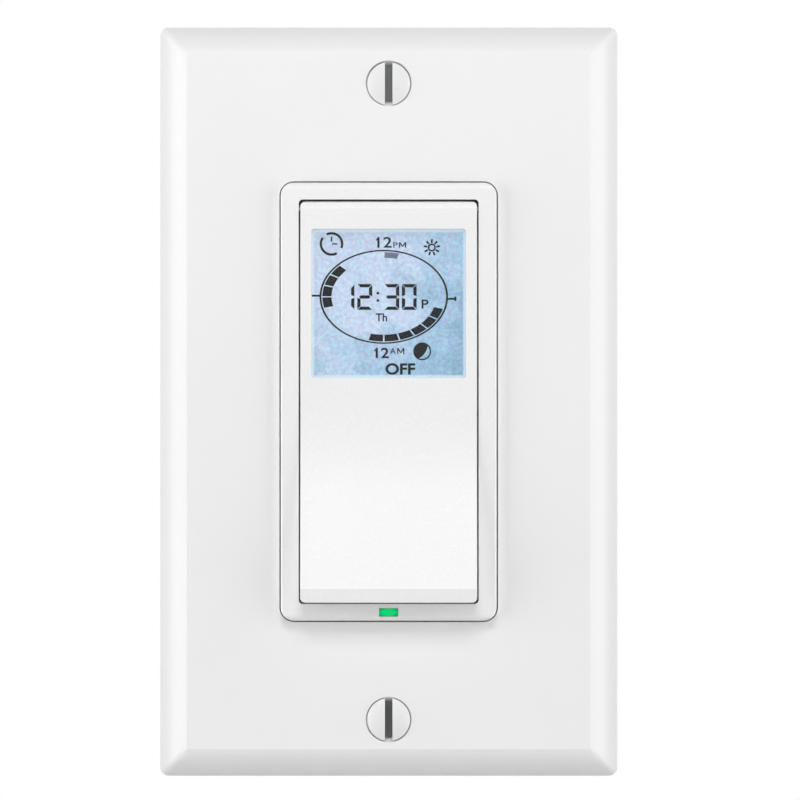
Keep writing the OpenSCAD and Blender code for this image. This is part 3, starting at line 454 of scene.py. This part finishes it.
front_up = Matrix.Rotation(math.radians(90), 4, "X")
back_up = Matrix.Rotation(math.radians(-90), 4, "X")
low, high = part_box("box_screws")
head_r, face, tip = high.x / MM, -low.y / MM, -high.y / MM
head_low, crown, slot_depth = face - 1.8, 0.81, 0.9
neck_low, neck_r, core, crest = -0.4, 1.5, 1.28, 1.75
collar = [(neck_r, neck_low), (neck_r, head_low)]
steps = shank(core, tip, neck_low) + collar + head(head_r, head_low, face, crown)
screw = slotted_screw("box_screw", steps, face - slot_depth,
                      (crest, tip + lead_in, neck_low, machine_pitch), zinc)
rise = high.z - head_r * MM
fit_screws(screw, "box_screws", [Matrix.Translation((0, 0, z)) @ front_up for z in (rise, -rise)])

low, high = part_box("housing_screws")
head_r = 2.4
face, tip = high.y / MM, low.y / MM
head_low, crown, slot_depth = face - 1.8, 0.57, 0.9
core, crest, fine_pitch, fine_lead_in = 1.05, 1.4, 0.635, 0.1
steps = shank(core, tip, head_low, point=0.7, run_in=0.35) + head(head_r, head_low, face, crown)
screw = slotted_screw("housing_screw", steps, face - slot_depth,
                      (crest, tip + fine_lead_in, head_low, fine_pitch), zinc)
corners = [(x, z) for x in (low.x + head_r * MM, high.x - head_r * MM)
           for z in (low.z + head_r * MM, high.z - head_r * MM)]
fit_screws(screw, "housing_screws", [Matrix.Translation((x, 0, z)) @ back_up for x, z in corners])

# Dyed zinc keeps its metal shine under a thin green, which marks the ground.
ground_dye = sheet_metal("green_dyed_steel", "#3f8f57", 0.32, 0.12, 3)
low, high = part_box("ground_screw")
head_r, face, tip = (high.x - low.x) / 2 / MM, high.y / MM, low.y / MM
head_low, crown, slot_depth = face - 1.8, 0.79, 0.9
steps = shank(machine_core, tip, head_low) + head(head_r, head_low, face, crown)
screw = slotted_screw("ground_screw_turned", steps, face - slot_depth,
                      (machine_crest, tip + lead_in, head_low, machine_pitch), ground_dye)
middle = ((low.x + high.x) / 2, 0, (low.z + high.z) / 2)
fit_screws(screw, "ground_screw", [Matrix.Translation(middle) @ back_up])


# Parts on the display board: push switches in tin shells with black plungers, the controller, its clock
# crystal in a drawn can, the lamps, and the header and socket that plug the two boards together.
# Tin plate is soft white metal; the crystal's can is drawn nickel silver.
tin = sheet_metal("tin_plated_steel", "#cfd0d0", 0.3, 0.12, 2)
dress(tin, "key_switches", "pad_switch", "clock_crystal")
# Unfilled black nylon and chip epoxy: near black with a dull satin.
black_nylon = moulded("black_nylon", "#222326", 0.45, 0.2, 0.01, shade=0.15)
dress(black_nylon, "plunger_up", "plunger_down", "plunger_enter", "plunger_back", "pad_plunger",
      "controller_chip", "board_header", "board_socket")
# Cast lamp epoxy is smooth and faintly yellow from the phosphor in it.
dress(moulded("cast_lamp_epoxy", "#efe6bd", 0.18, 0.6, 0.004), "backlight_lamps", "indicator_lamp")


# Front frame. White polycarbonate, moulded with rounded corners, that is staked to the strap and carries
# the pad, the key deck and the indicator. A polished tool lightly blasted gives it an even low sheen.
frame_white = moulded("white_polycarbonate", "#f2f2f2", 0.3, 0.3, 0.0015, shade=0.012, ior=1.58)
eased(blank("front_frame"), "front_frame", "chassis", frame_white, 0.1)


# Indicator. A pipe of green acrylic brings the lamp's light to a small window in the frame's foot.
# Dyed acrylic lit from behind glows in its middle and falls off to a deeper green at its edges.
pipe_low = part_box("indicator_pipe")[0]
pipe_w, pipe_h, lamp_glow = 2.75, 1.15, 0.35
pipe_mid = Vector((0, 0, pipe_low.z + pipe_h / 2 * MM))
green_pipe, tree = bare_material("lit_green_acrylic")
place = add(tree, "TexCoord").outputs["Object"]
centred = add(tree, "Mapping", {"Vector": place, "Location": tuple(-pipe_mid)}).outputs["Vector"]
to_unit, corner_reach = (2 / (pipe_w * MM), 0, 2 / (pipe_h * MM)), 1.4
squared = add(tree, "VectorMath", {0: centred, 1: to_unit}, operation="MULTIPLY").outputs["Vector"]
reach = add(tree, "VectorMath", {0: squared}, operation="LENGTH").outputs["Value"]
outward = add(tree, "Math", {0: reach, 1: corner_reach}, operation="DIVIDE").outputs[0]
glow = ramp(tree, outward, [(0.5, srgb("#06cf75")), (1, srgb("#068a50"))])
ripple = add(tree, "TexNoise", {"Vector": place, "Scale": 1 / (0.5 * MM), "Detail": 2}).outputs["Fac"]
relief = add(tree, "Bump", {"Height": ripple, "Strength": 0.15, "Distance": 0.01 * MM}).outputs["Normal"]
skin = add(tree, "BsdfPrincipled", {"Base Color": glow, "Roughness": 0.2, "IOR": 1.49, "Normal": relief,
                                    "Emission Color": glow, "Emission Strength": lamp_glow})
add(tree, "OutputMaterial", {"Surface": skin.outputs[0]})
dress(green_pipe, "indicator_pipe")


# Display. Two sheets of glass with liquid crystal between them, lit through an acrylic guide and joined to
# the board by striped rubber strips, with a bezel that holds the stack down.
# Layers of carbon-filled and plain silicone show as fine dark and pink stripes.
zebra, tree = bare_material("striped_connector_rubber")
place = add(tree, "TexCoord").outputs["Object"]
stripe = add(tree, "TexWave", {"Vector": place, "Scale": 1 / (2 * MM)}, bands_direction="X").outputs["Fac"]
layers = ramp(tree, stripe, [(0, srgb("#2a2a2c")), (1, srgb("#c9a6a2"))])
skin = add(tree, "BsdfPrincipled", {"Base Color": layers, "Roughness": 0.7})
add(tree, "OutputMaterial", {"Surface": skin.outputs[0]})
dress(zebra, "connector_strips")
# Acrylic with a sanded back: cloudy white with a soft skin.
dress(moulded("frosted_acrylic", "#eef3f5", 0.35, 0.4, 0.01), "light_guide")

# Liquid crystal lit from behind: pale violet in the middle, sky blue outwards, with darker patches on the
# right, a fine pink and cyan mottle, and a pale strip along the edges where the light leaks.
glass_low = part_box("display_glass")[0]
lit_mid = Vector((0, 0, 14.9 * MM))
lit_w, lit_h, leak = 23.5, 22.6, 0.45
mottle_share, unlit_share, backlight = 0.42, 0.5, 0.78
lit_glass, tree = bare_material("lit_liquid_crystal")
place = add(tree, "TexCoord").outputs["Object"]
centred = add(tree, "Mapping", {"Vector": place, "Location": tuple(-lit_mid)}).outputs["Vector"]
to_unit, downhill = (2 / (lit_w * MM), 0, 2 / (lit_h * MM)), (0.3, 0, -0.25)
flat = add(tree, "VectorMath", {0: centred, 1: to_unit}, operation="MULTIPLY").outputs["Vector"]
reach = add(tree, "VectorMath", {0: flat}, operation="LENGTH").outputs["Value"]
cloud = add(tree, "TexNoise", {"Vector": centred, "Scale": 1 / (3.2 * MM), "Detail": 4}).outputs["Fac"]
drift = add(tree, "Math", {0: cloud, 1: 0.5}, operation="SUBTRACT").outputs[0]
aslant = add(tree, "VectorMath", {0: flat, 1: downhill}, operation="DOT_PRODUCT").outputs["Value"]
leaning = add(tree, "Math", {0: reach, 1: 0.45, 2: aslant}, operation="MULTIPLY_ADD").outputs[0]
wander = add(tree, "Math", {0: drift, 1: 1.6, 2: leaning}, operation="MULTIPLY_ADD").outputs[0]
body = ramp(tree, wander, [(0.1, srgb("#d3d8ea")), (0.75, srgb("#9cc2dc"))])
patch = add(tree, "TexNoise", {"Vector": centred, "Scale": 1 / (4.5 * MM), "Detail": 5}).outputs["Fac"]
heavy = add(tree, "Math", {0: aslant, 1: 0.5, 2: patch}, operation="MULTIPLY_ADD").outputs[0]
dark = add(tree, "MapRange", {"Value": heavy, "From Min": 0.5, "From Max": 0.82}).outputs["Result"]
shaded = add(tree, "Mix", {0: dark, 6: body, 7: srgb("#6c9cb6")}, data_type="RGBA").outputs[2]
speck = add(tree, "TexNoise", {"Vector": centred, "Scale": 1 / (0.6 * MM), "Detail": 3, "Roughness": 0.7})
tint = ramp(tree, speck.outputs["Fac"], [(0.36, srgb("#a394c8")), (0.64, srgb("#b4e6ee"))])
mottle = add(tree, "Mix", {0: mottle_share, 6: shaded, 7: tint}, data_type="RGBA").outputs[2]
unsigned = add(tree, "VectorMath", {0: centred}, operation="ABSOLUTE").outputs[0]
reaches = add(tree, "SeparateXYZ", {"Vector": unsigned}).outputs
inner_x, inner_z = (lit_w / 2 - leak) * MM, (lit_h / 2 - leak) * MM
beyond_x = add(tree, "Math", {0: reaches["X"], 1: inner_x}, operation="SUBTRACT").outputs[0]
beyond_z = add(tree, "Math", {0: reaches["Z"], 1: inner_z}, operation="SUBTRACT").outputs[0]
beyond = add(tree, "Math", {0: beyond_x, 1: beyond_z}, operation="MAXIMUM").outputs[0]
border = add(tree, "MapRange", {"Value": beyond, "From Min": -0.1 * MM, "From Max": 0.15 * MM,
                                "To Max": 0.75}).outputs["Result"]
picture = add(tree, "Mix", {0: border, 6: mottle, 7: srgb("#dcebf5")}, data_type="RGBA").outputs[2]
unlit = add(tree, "Mix", {0: unlit_share, 6: picture, 7: (0, 0, 0, 1)}, data_type="RGBA").outputs[2]
skin = add(tree, "BsdfPrincipled", {"Base Color": unlit, "Roughness": 0.25, "IOR": 1.52,
                                    "Emission Color": picture, "Emission Strength": backlight})
add(tree, "OutputMaterial", {"Surface": skin.outputs[0]})
dress(lit_glass, "display_glass")


# Display marks. The dark segments of the liquid crystal: a dial ring with hour blocks, the time, the day,
# noon and midnight, and small clock, sun and moon signs, each a film on the front of the glass. Their
# places are in mm from the middle of the lit area.
film = 0.02 * MM


def flat_shape(points):
    """A flat disc with as many corners as the mark needs, each drawn to its place in mm."""
    bpy.ops.object.select_all(action="DESELECT")
    bpy.ops.mesh.primitive_circle_add(vertices=len(points), fill_type="NGON")
    piece = bpy.context.object
    for vertex, (x, y) in zip(piece.data.vertices, points):
        vertex.co = (x * MM, y * MM, 0)
    return piece


def stroke(x0, y0, x1, y1, width):
    """A straight bar from one point to another."""
    run = Vector((x1 - x0, y1 - y0)).normalized() * width / 2
    return flat_shape([(x0 + run.y, y0 - run.x), (x1 + run.y, y1 - run.x),
                       (x1 - run.y, y1 + run.x), (x0 - run.y, y0 + run.x)])


def ring(x, y, rx, ry, width, lit=None, sides=144):
    """A round or oval band; with a test of the angle, only the parts that it lights."""
    bpy.ops.object.select_all(action="DESELECT")
    bpy.ops.mesh.primitive_circle_add(vertices=sides, radius=1, fill_type="NOTHING")
    piece = bpy.context.object
    bpy.ops.object.mode_set(mode="EDIT")
    bpy.ops.mesh.select_all(action="SELECT")
    bpy.ops.mesh.extrude_region_move()
    bpy.ops.transform.resize(value=(1 - width / rx, 1 - width / rx, 1), center_override=(0, 0, 0))
    bpy.ops.mesh.select_all(action="SELECT")
    bpy.ops.transform.resize(value=(rx * MM, ry * MM, 1), center_override=(0, 0, 0))
    bpy.ops.transform.translate(value=(x * MM, y * MM, 0))
    bpy.ops.mesh.select_all(action="DESELECT")
    bpy.ops.object.mode_set(mode="OBJECT")
    if lit:
        bpy.context.tool_settings.mesh_select_mode = (False, False, True)
        for face in piece.data.polygons:
            along, up = (face.center.x / MM - x) / rx, (face.center.y / MM - y) / ry
            face.select = not lit(math.degrees(math.atan2(up, along)) % 360)
        bpy.ops.object.mode_set(mode="EDIT")
        bpy.ops.mesh.delete(type="FACE")
        bpy.ops.object.mode_set(mode="OBJECT")
        bpy.context.tool_settings.mesh_select_mode = (True, False, False)
    return piece


def lettering(words, x0, x1, y0, y1, weight=0.012):
    """Letters, drawn to fill a box."""
    bpy.ops.object.select_all(action="DESELECT")
    bpy.ops.object.text_add()
    bpy.context.object.data.body = words
    bpy.context.object.data.offset = weight
    bpy.ops.object.convert(target="MESH")
    piece = bpy.context.object
    xs = [vertex.co.x for vertex in piece.data.vertices]
    ys = [vertex.co.y for vertex in piece.data.vertices]
    left, low, wide, tall = min(xs), min(ys), max(xs) - min(xs), max(ys) - min(ys)
    for vertex in piece.data.vertices:
        vertex.co.x = (x0 + (vertex.co.x - left) / wide * (x1 - x0)) * MM
        vertex.co.y = (y0 + (vertex.co.y - low) / tall * (y1 - y0)) * MM
    return piece


def letter_m(x0, x1, y0, y1, width):
    """A capital M of four bars in a box."""
    mid, dip = (x0 + x1) / 2, y0 + width
    return [stroke(x0, y0, x0, y1, width), stroke(x0, y1, mid, dip, width),
            stroke(mid, dip, x1, y1, width), stroke(x1, y1, x1, y0, width)]


def lay_film(name, flats, place, material, body):
    """Joins flat marks into one film, gives it its thickness and lays it face out at its place."""
    bpy.ops.object.select_all(action="DESELECT")
    for piece in flats:
        piece.select_set(True)
    bpy.context.view_layer.objects.active = flats[0]
    if len(flats) > 1:
        bpy.ops.object.join()
    sheet = bpy.context.object
    sheet.name = name
    bpy.ops.object.mode_set(mode="EDIT")
    bpy.ops.mesh.select_all(action="SELECT")
    bpy.ops.mesh.extrude_region_move(TRANSFORM_OT_translate={"value": (0, 0, film)})
    bpy.ops.mesh.select_all(action="SELECT")
    bpy.ops.mesh.normals_make_consistent(inside=False)
    bpy.ops.object.mode_set(mode="OBJECT")
    sheet.rotation_euler = (math.radians(90), 0, 0)
    sheet.location = place
    bpy.ops.object.transform_apply(location=True, rotation=True, scale=True)
    sheet.data.materials.clear()
    sheet.data.materials.append(material)
    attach(sheet, body)
    return sheet


marks = []
dial_x, dial_y, dial_rx, dial_ry, line = -0.55, 1.0, 9.78, 7.15, 0.3
marks.append(ring(dial_x, dial_y, dial_rx, dial_ry, line))

# The hour blocks lie just inside the dial's line; the angles are those of their middles.
block_rx, block_ry, block_w, block_sides = dial_rx - 0.42, dial_ry - 0.35, 1.42, 480
hour_turn, block_gap = 360 / 24, 0.7
hours_on = [142.5, 157.5, 172.5, 187.5, 262.5, 277.5, 292.5, 307.5, 322.5, 337.5]


def in_block(turn, hours):
    """Whether an angle falls in the block of one of these hours."""
    return any(abs(turn - hour) < hour_turn / 2 - block_gap for hour in hours)


marks.append(ring(dial_x, dial_y, block_rx, block_ry, block_w, sides=block_sides,
                  lit=lambda turn: in_block(turn, hours_on)))

# A line runs out from the dial on either side, the right one to a short bar.
left_end, left_y, right_end, right_y, overlap = -11.5, 1.17, 10.35, 0.69, 0.1
bar_low, bar_high = 0.35, 1.05
marks.append(stroke(left_end, left_y, dial_x - dial_rx + overlap, left_y, line))
marks.append(stroke(dial_x + dial_rx - overlap, right_y, right_end, right_y, line))
marks.append(stroke(right_end, bar_low, right_end, bar_high, line))

digit_low, digit_high, bar, cut = -0.99, 2.94, 0.5, 0.05
digit_mid = (digit_low + digit_high) / 2
segments = {"0": "abcdef", "1": "bc", "2": "abged", "3": "abgcd"}


def digit(shape, x0, x1):
    """Adds a numeral's segments, with mitred ends, between two sides."""
    half = bar / 2
    for name in segments[shape]:
        if name in "ad":
            y, inward = (digit_high, -bar) if name == "a" else (digit_low, bar)
            corners = [(x0 + cut, y), (x1 - cut, y), (x1 - bar, y + inward), (x0 + bar, y + inward)]
        elif name == "g":
            corners = [(x0 + half, digit_mid), (x0 + bar, digit_mid - half), (x1 - bar, digit_mid - half),
                       (x1 - half, digit_mid), (x1 - bar, digit_mid + half), (x0 + bar, digit_mid + half)]
        else:
            x, inward = (x0, bar) if name in "ef" else (x1, -bar)
            end, up = (digit_high, 1) if name in "bf" else (digit_low, -1)
            corners = [(x, digit_mid + up * 2 * cut), (x, end - up * 2 * cut),
                       (x + inward, end - up * (bar + 2 * cut)),
                       (x + inward, digit_mid + up * (half + cut))]
        marks.append(flat_shape(corners))


digit("1", -7.3, -5.02)
digit("2", -4.58, -2.31)
digit("3", -0.46, 1.8)
digit("0", 2.2, 4.45)
marks += [stroke(-1.64, y, -1.25, y, 0.39) for y in (1.55, 0.44)]
marks.append(lettering("P", 5.21, 6.25, -0.81, 0.59))
marks.append(lettering("Th", -1.79, -0.04, -2.73, -1.51, weight=0.02))

# Each small 1 has a longer flag than the typeface gives it.
flag_w, letter_w = 0.2, 0.18
marks.append(lettering("12", -1.53, 0.66, 8.47, 10.12))
marks.append(stroke(-1.35, 9.95, -1.75, 9.6, flag_w))
marks.append(lettering("P", 0.9, 1.55, 8.47, 9.3))
marks += letter_m(1.86, 2.76, 8.47, 9.3, letter_w)
marks.append(lettering("12", -1.79, 0.22, -8.33, -6.75, weight=0.02))
marks.append(stroke(-1.6, -6.9, -2.0, -7.25, flag_w))
marks.append(lettering("A", 0.4, 1.28, -7.7, -6.8))
marks += letter_m(1.57, 2.49, -7.7, -6.8, letter_w)
marks.append(lettering("OFF", -0.3, 4.24, -10.86, -9.1, weight=0.03))

clock_x, clock_y, clock_r, hand_w = -8.5, 9.05, 1.8, 0.22
clock_gaps = ((118, 146), (300, 338))
marks.append(ring(clock_x, clock_y, clock_r, clock_r, 0.36,
                  lit=lambda turn: not any(start < turn < stop for start, stop in clock_gaps)))
marks.append(stroke(clock_x, clock_y + 0.35, clock_x, clock_y + 1.1, hand_w))
marks.append(stroke(clock_x + 0.1, clock_y, clock_x + 0.9, clock_y, hand_w))

sun_x, sun_y, sun_r, rays = 6.76, 8.5, 0.62, 9
ray_in, ray_out, ray_w = 0.7, 1.25, 0.28
marks.append(ring(sun_x, sun_y, sun_r, sun_r, 0.25, sides=48))
for number in range(rays):
    turn = math.radians(90 + number * 360 / rays)
    along, up = math.cos(turn), math.sin(turn)
    marks.append(stroke(sun_x + ray_in * along, sun_y + ray_in * up,
                        sun_x + ray_out * along, sun_y + ray_out * up, ray_w))

moon_x, moon_y, moon_r, lean, bulge = 5.3, -7.3, 1.36, math.radians(-35), 0.4
marks.append(ring(moon_x, moon_y, moon_r, moon_r, 0.22, sides=72))
shadow, shadow_r, shadow_sides = [], 1.2, 64
for number in range(shadow_sides):
    turn = number * 2 * math.pi / shadow_sides
    across, along = shadow_r * math.cos(turn), shadow_r * math.sin(turn)
    across *= bulge if across > 0 else 1
    shadow.append((moon_x + across * math.cos(lean) - along * math.sin(lean),
                   moon_y + across * math.sin(lean) + along * math.cos(lean)))
marks.append(flat_shape(shadow))

# A segment that is switched on turns the light off: nearly black and a little blue. It lies in the glass,
# so it has next to no sheen of its own.
dark_crystal = moulded("dark_liquid_crystal", "#0c1016", 0.5, 0.4, 0.002, shade=0.25, ior=1.08)
marks_aside, marks_up = -0.2 * MM, 0.05 * MM
glass_face = Vector((marks_aside, glass_low.y, lit_mid.z + marks_up))
lay_film("display_marks", marks, glass_face, dark_crystal, "chassis")

# A segment that is switched off still shows as a faint violet ghost from the front.
ghost_hour, ghost_w = 82.5, 1.2
faint = ring(dial_x, dial_y, block_rx, block_ry, ghost_w, sides=block_sides,
             lit=lambda turn: in_block(turn, [ghost_hour]))
ghost_crystal = moulded("faint_liquid_crystal", "#a6a9cd", 0.5, 0.4, 0.002, shade=0.3, ior=1.08)
lay_film("display_ghost_segment", [faint], glass_face, ghost_crystal, "chassis")


# Key deck and setting keys. A pale grey ABS deck under the pad guides four keys that stand a little proud
# of it, and is pinned to the display board; the bezel over the display is moulded in the same grey.
# ABS from a finely etched tool: an even satin that hides finger marks.
deck_grey = moulded("pale_grey_abs", "#d3d5d4", 0.45, 0.3, 0.012, shade=0.03)
eased(blank("key_deck"), "key_deck", "chassis", deck_grey, 0.12)
dress(deck_grey, "display_bezel")
key_grey = moulded("grey_key_abs", "#8b9196", 0.5, 0.25, 0.012, shade=0.06)
# Pad-printed ink sits on the keys as a smooth white film.
key_ink = moulded("pad_printed_ink", "#f0f1ee", 0.4, 0.3, 0.002)
signs = {
    "key_up": [(-1.1, -0.75), (1.1, -0.75), (0, 0.95)],
    "key_down": [(-1.1, 0.75), (0, -0.95), (1.1, 0.75)],
    "key_enter": [(-1.3, 0.05), (-0.95, 0.4), (-0.35, -0.2), (0.95, 1.1), (1.3, 0.75), (-0.35, -0.9)],
    "key_back": [(-1.4, 0), (-0.3, 1), (-0.3, 0.35), (1.4, 0.35), (1.4, -0.35), (-0.3, -0.35), (-0.3, -1)],
}
for key, points in signs.items():
    eased(blank(key), key, key, key_grey, 0.25)
    low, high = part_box(key)
    top = Vector(((low.x + high.x) / 2, low.y, (low.z + high.z) / 2))
    lay_film(key + "_sign", [flat_shape(points)], top, key_ink, key)


# Push pad. White ABS, flat at the top and flared at the foot, turning on a steel rod over a sheet-steel
# bail; its clear acrylic window is pressed in from behind.
# ABS from a blasted tool: bright white with a soft satin.
pad_white = moulded("white_satin_abs", "#f2f2f2", 0.26, 0.28, 0.0015, shade=0.012)
eased(blank("push_pad"), "push_pad", "push_pad", pad_white, 0.08, crease=12)
# Spring strip is rolled bright and stays a little darker than plated steel.
spring_steel = sheet_metal("spring_steel", "#b9bcc0", 0.3, 0.14, 6)
dress(spring_steel, "return_bail", "hinge_rod")
# Cast acrylic with a hard coat against glare: clear, with only a trace of haze.
clear_acrylic, tree = bare_material("clear_acrylic")
place = add(tree, "TexCoord").outputs["Object"]
haze = add(tree, "TexNoise", {"Vector": place, "Scale": 1 / (2.5 * MM), "Detail": 3}).outputs["Fac"]
gloss = add(tree, "MapRange", {"Value": haze, "To Min": 0.01, "To Max": 0.05}).outputs["Result"]
skin = add(tree, "BsdfPrincipled", {"Base Color": srgb("#f4f9fb"), "Roughness": gloss, "IOR": 1.49,
                                    "Transmission Weight": 1})
add(tree, "OutputMaterial", {"Surface": skin.outputs[0]})
dress(clear_acrylic, "display_window")


# Wall plate. White urea moulding with a convex bevel on all four sides, laid over the strap and held by
# two oval-head screws. The bevels' mitres are blended, as a polisher leaves them in the tool.
# Urea is hard and takes a soft polish from its tool.
plate_white = moulded("white_urea", "#f1f1f1", 0.32, 0.35, 0.002, shade=0.012, ior=1.55)
plate = blank("wall_plate")
low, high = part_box("wall_plate")
bevel_zone, mitre_blend, mitre_cuts = 4.6 * MM, 1.0 * MM, 5
facing_flat, facing_out, least_lean = 0.995, 0.2, 0.02


def from_sides(place):
    """How far a place on the plate lies in from its nearest upright side and from its nearest end."""
    return high.x - abs(place.x), high.z - abs(place.z)


def on_bevel(face):
    """Whether a face of the plate leans, and lies near enough to a side to be on its bevel."""
    return facing_out < -face.normal.y < facing_flat and min(from_sides(face.center)) < bevel_zone


# The bevel's depth over its distance from the side is read from the moulding itself.
depths = {}
for face in plate.data.polygons:
    if on_bevel(face):
        for corner in face.vertices:
            place = plate.data.vertices[corner].co
            depths[round(min(from_sides(place)), 6)] = place.y
profile = sorted(depths.items())
# Cuts beside each mitre give the blend its points.
blend_reach = mitre_blend / math.sqrt(2)
shares = [cut / mitre_cuts for cut in range(-mitre_cuts, mitre_cuts + 1) if cut]
bpy.context.tool_settings.mesh_select_mode = (False, False, True)
for side, end in ((-1, -1), (-1, 1), (1, -1), (1, 1)):
    across = Vector((side, 0, -end)).normalized()
    tip = Vector((side * high.x, 0, end * high.z))
    for share in shares:
        for face in plate.data.polygons:
            leaning = max(face.normal.x * side, face.normal.z * end) > least_lean
            face.select = on_bevel(face) and leaning
        bpy.ops.object.mode_set(mode="EDIT")
        bpy.ops.mesh.bisect(plane_co=tip + across * blend_reach * share, plane_no=across)
        bpy.ops.mesh.select_all(action="DESELECT")
        bpy.ops.object.mode_set(mode="OBJECT")
bpy.context.tool_settings.mesh_select_mode = (True, False, False)
# Near a mitre the two bevels' distances run into each other, and the depth follows.
for corner in {corner for face in plate.data.polygons if on_bevel(face) for corner in face.vertices}:
    place = plate.data.vertices[corner].co
    inward, upward = from_sides(place)
    near = mitre_blend - abs(inward - upward)
    if near <= 0 or place.y < low.y + weld:
        continue
    blended = min(inward, upward) - near ** 2 / (4 * mitre_blend)
    for (start, first), (stop, last) in zip(profile, profile[1:]):
        if start <= blended <= stop:
            place.y = first + (last - first) * (blended - start) / (stop - start)
eased(plate, "wall_plate", "chassis", plate_white, 0.1, crease=12)


# Plate screws. Oval-head steel screws, enamelled white on the head to match the plate and bare below it;
# the slot and the head's rim show bare steel too, whose darker grey is partly painted shade for the shadow
# there.
# Stoved enamel is smooth and slightly wavy; the bare steel under it is dull and darker.
enamel = moulded("white_stoved_enamel", "#ececec", 0.3, 0.5, 0.008, shade=0.02)
bare_steel_and_recess_shade = sheet_metal("plain_steel_and_painted_recess_shade", "#9b9da0", 0.42, 0.1, 3)
low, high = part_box("plate_screws")
head_r, face, tip = high.x / MM, -low.y / MM, -high.y / MM
seat, edge, slot_depth, facing_up = 5.6, 0.1, 1.5, 0.3
cone_run = math.tan(math.radians(41))
neck = seat - (head_r - machine_core) / cone_run
steps = shank(machine_core, tip, neck) + head(head_r, seat, face, face - seat - edge)
screw = slotted_screw("plate_screw", steps, face - slot_depth,
                      (machine_crest, tip + lead_in, neck - lead_in, machine_pitch), enamel)
screw.data.materials.append(bare_steel_and_recess_shade)
# Faces off the crown, in the slot and round the head's rim, take the darker bare steel, which paints the
# shade there.
for polygon in screw.data.polygons:
    over_edge = polygon.center.z > (seat + edge) * MM
    beside_slot = abs(polygon.center.x) > slot_w / 2 * MM
    on_crown = polygon.normal.z > facing_up and over_edge and beside_slot
    polygon.material_index = 0 if on_crown else 1
rise = high.z - head_r * MM
places = [Matrix.Translation((0, 0, z)) @ front_up for z in (rise, -rise)]
fit_screws(screw, "plate_screws", places)
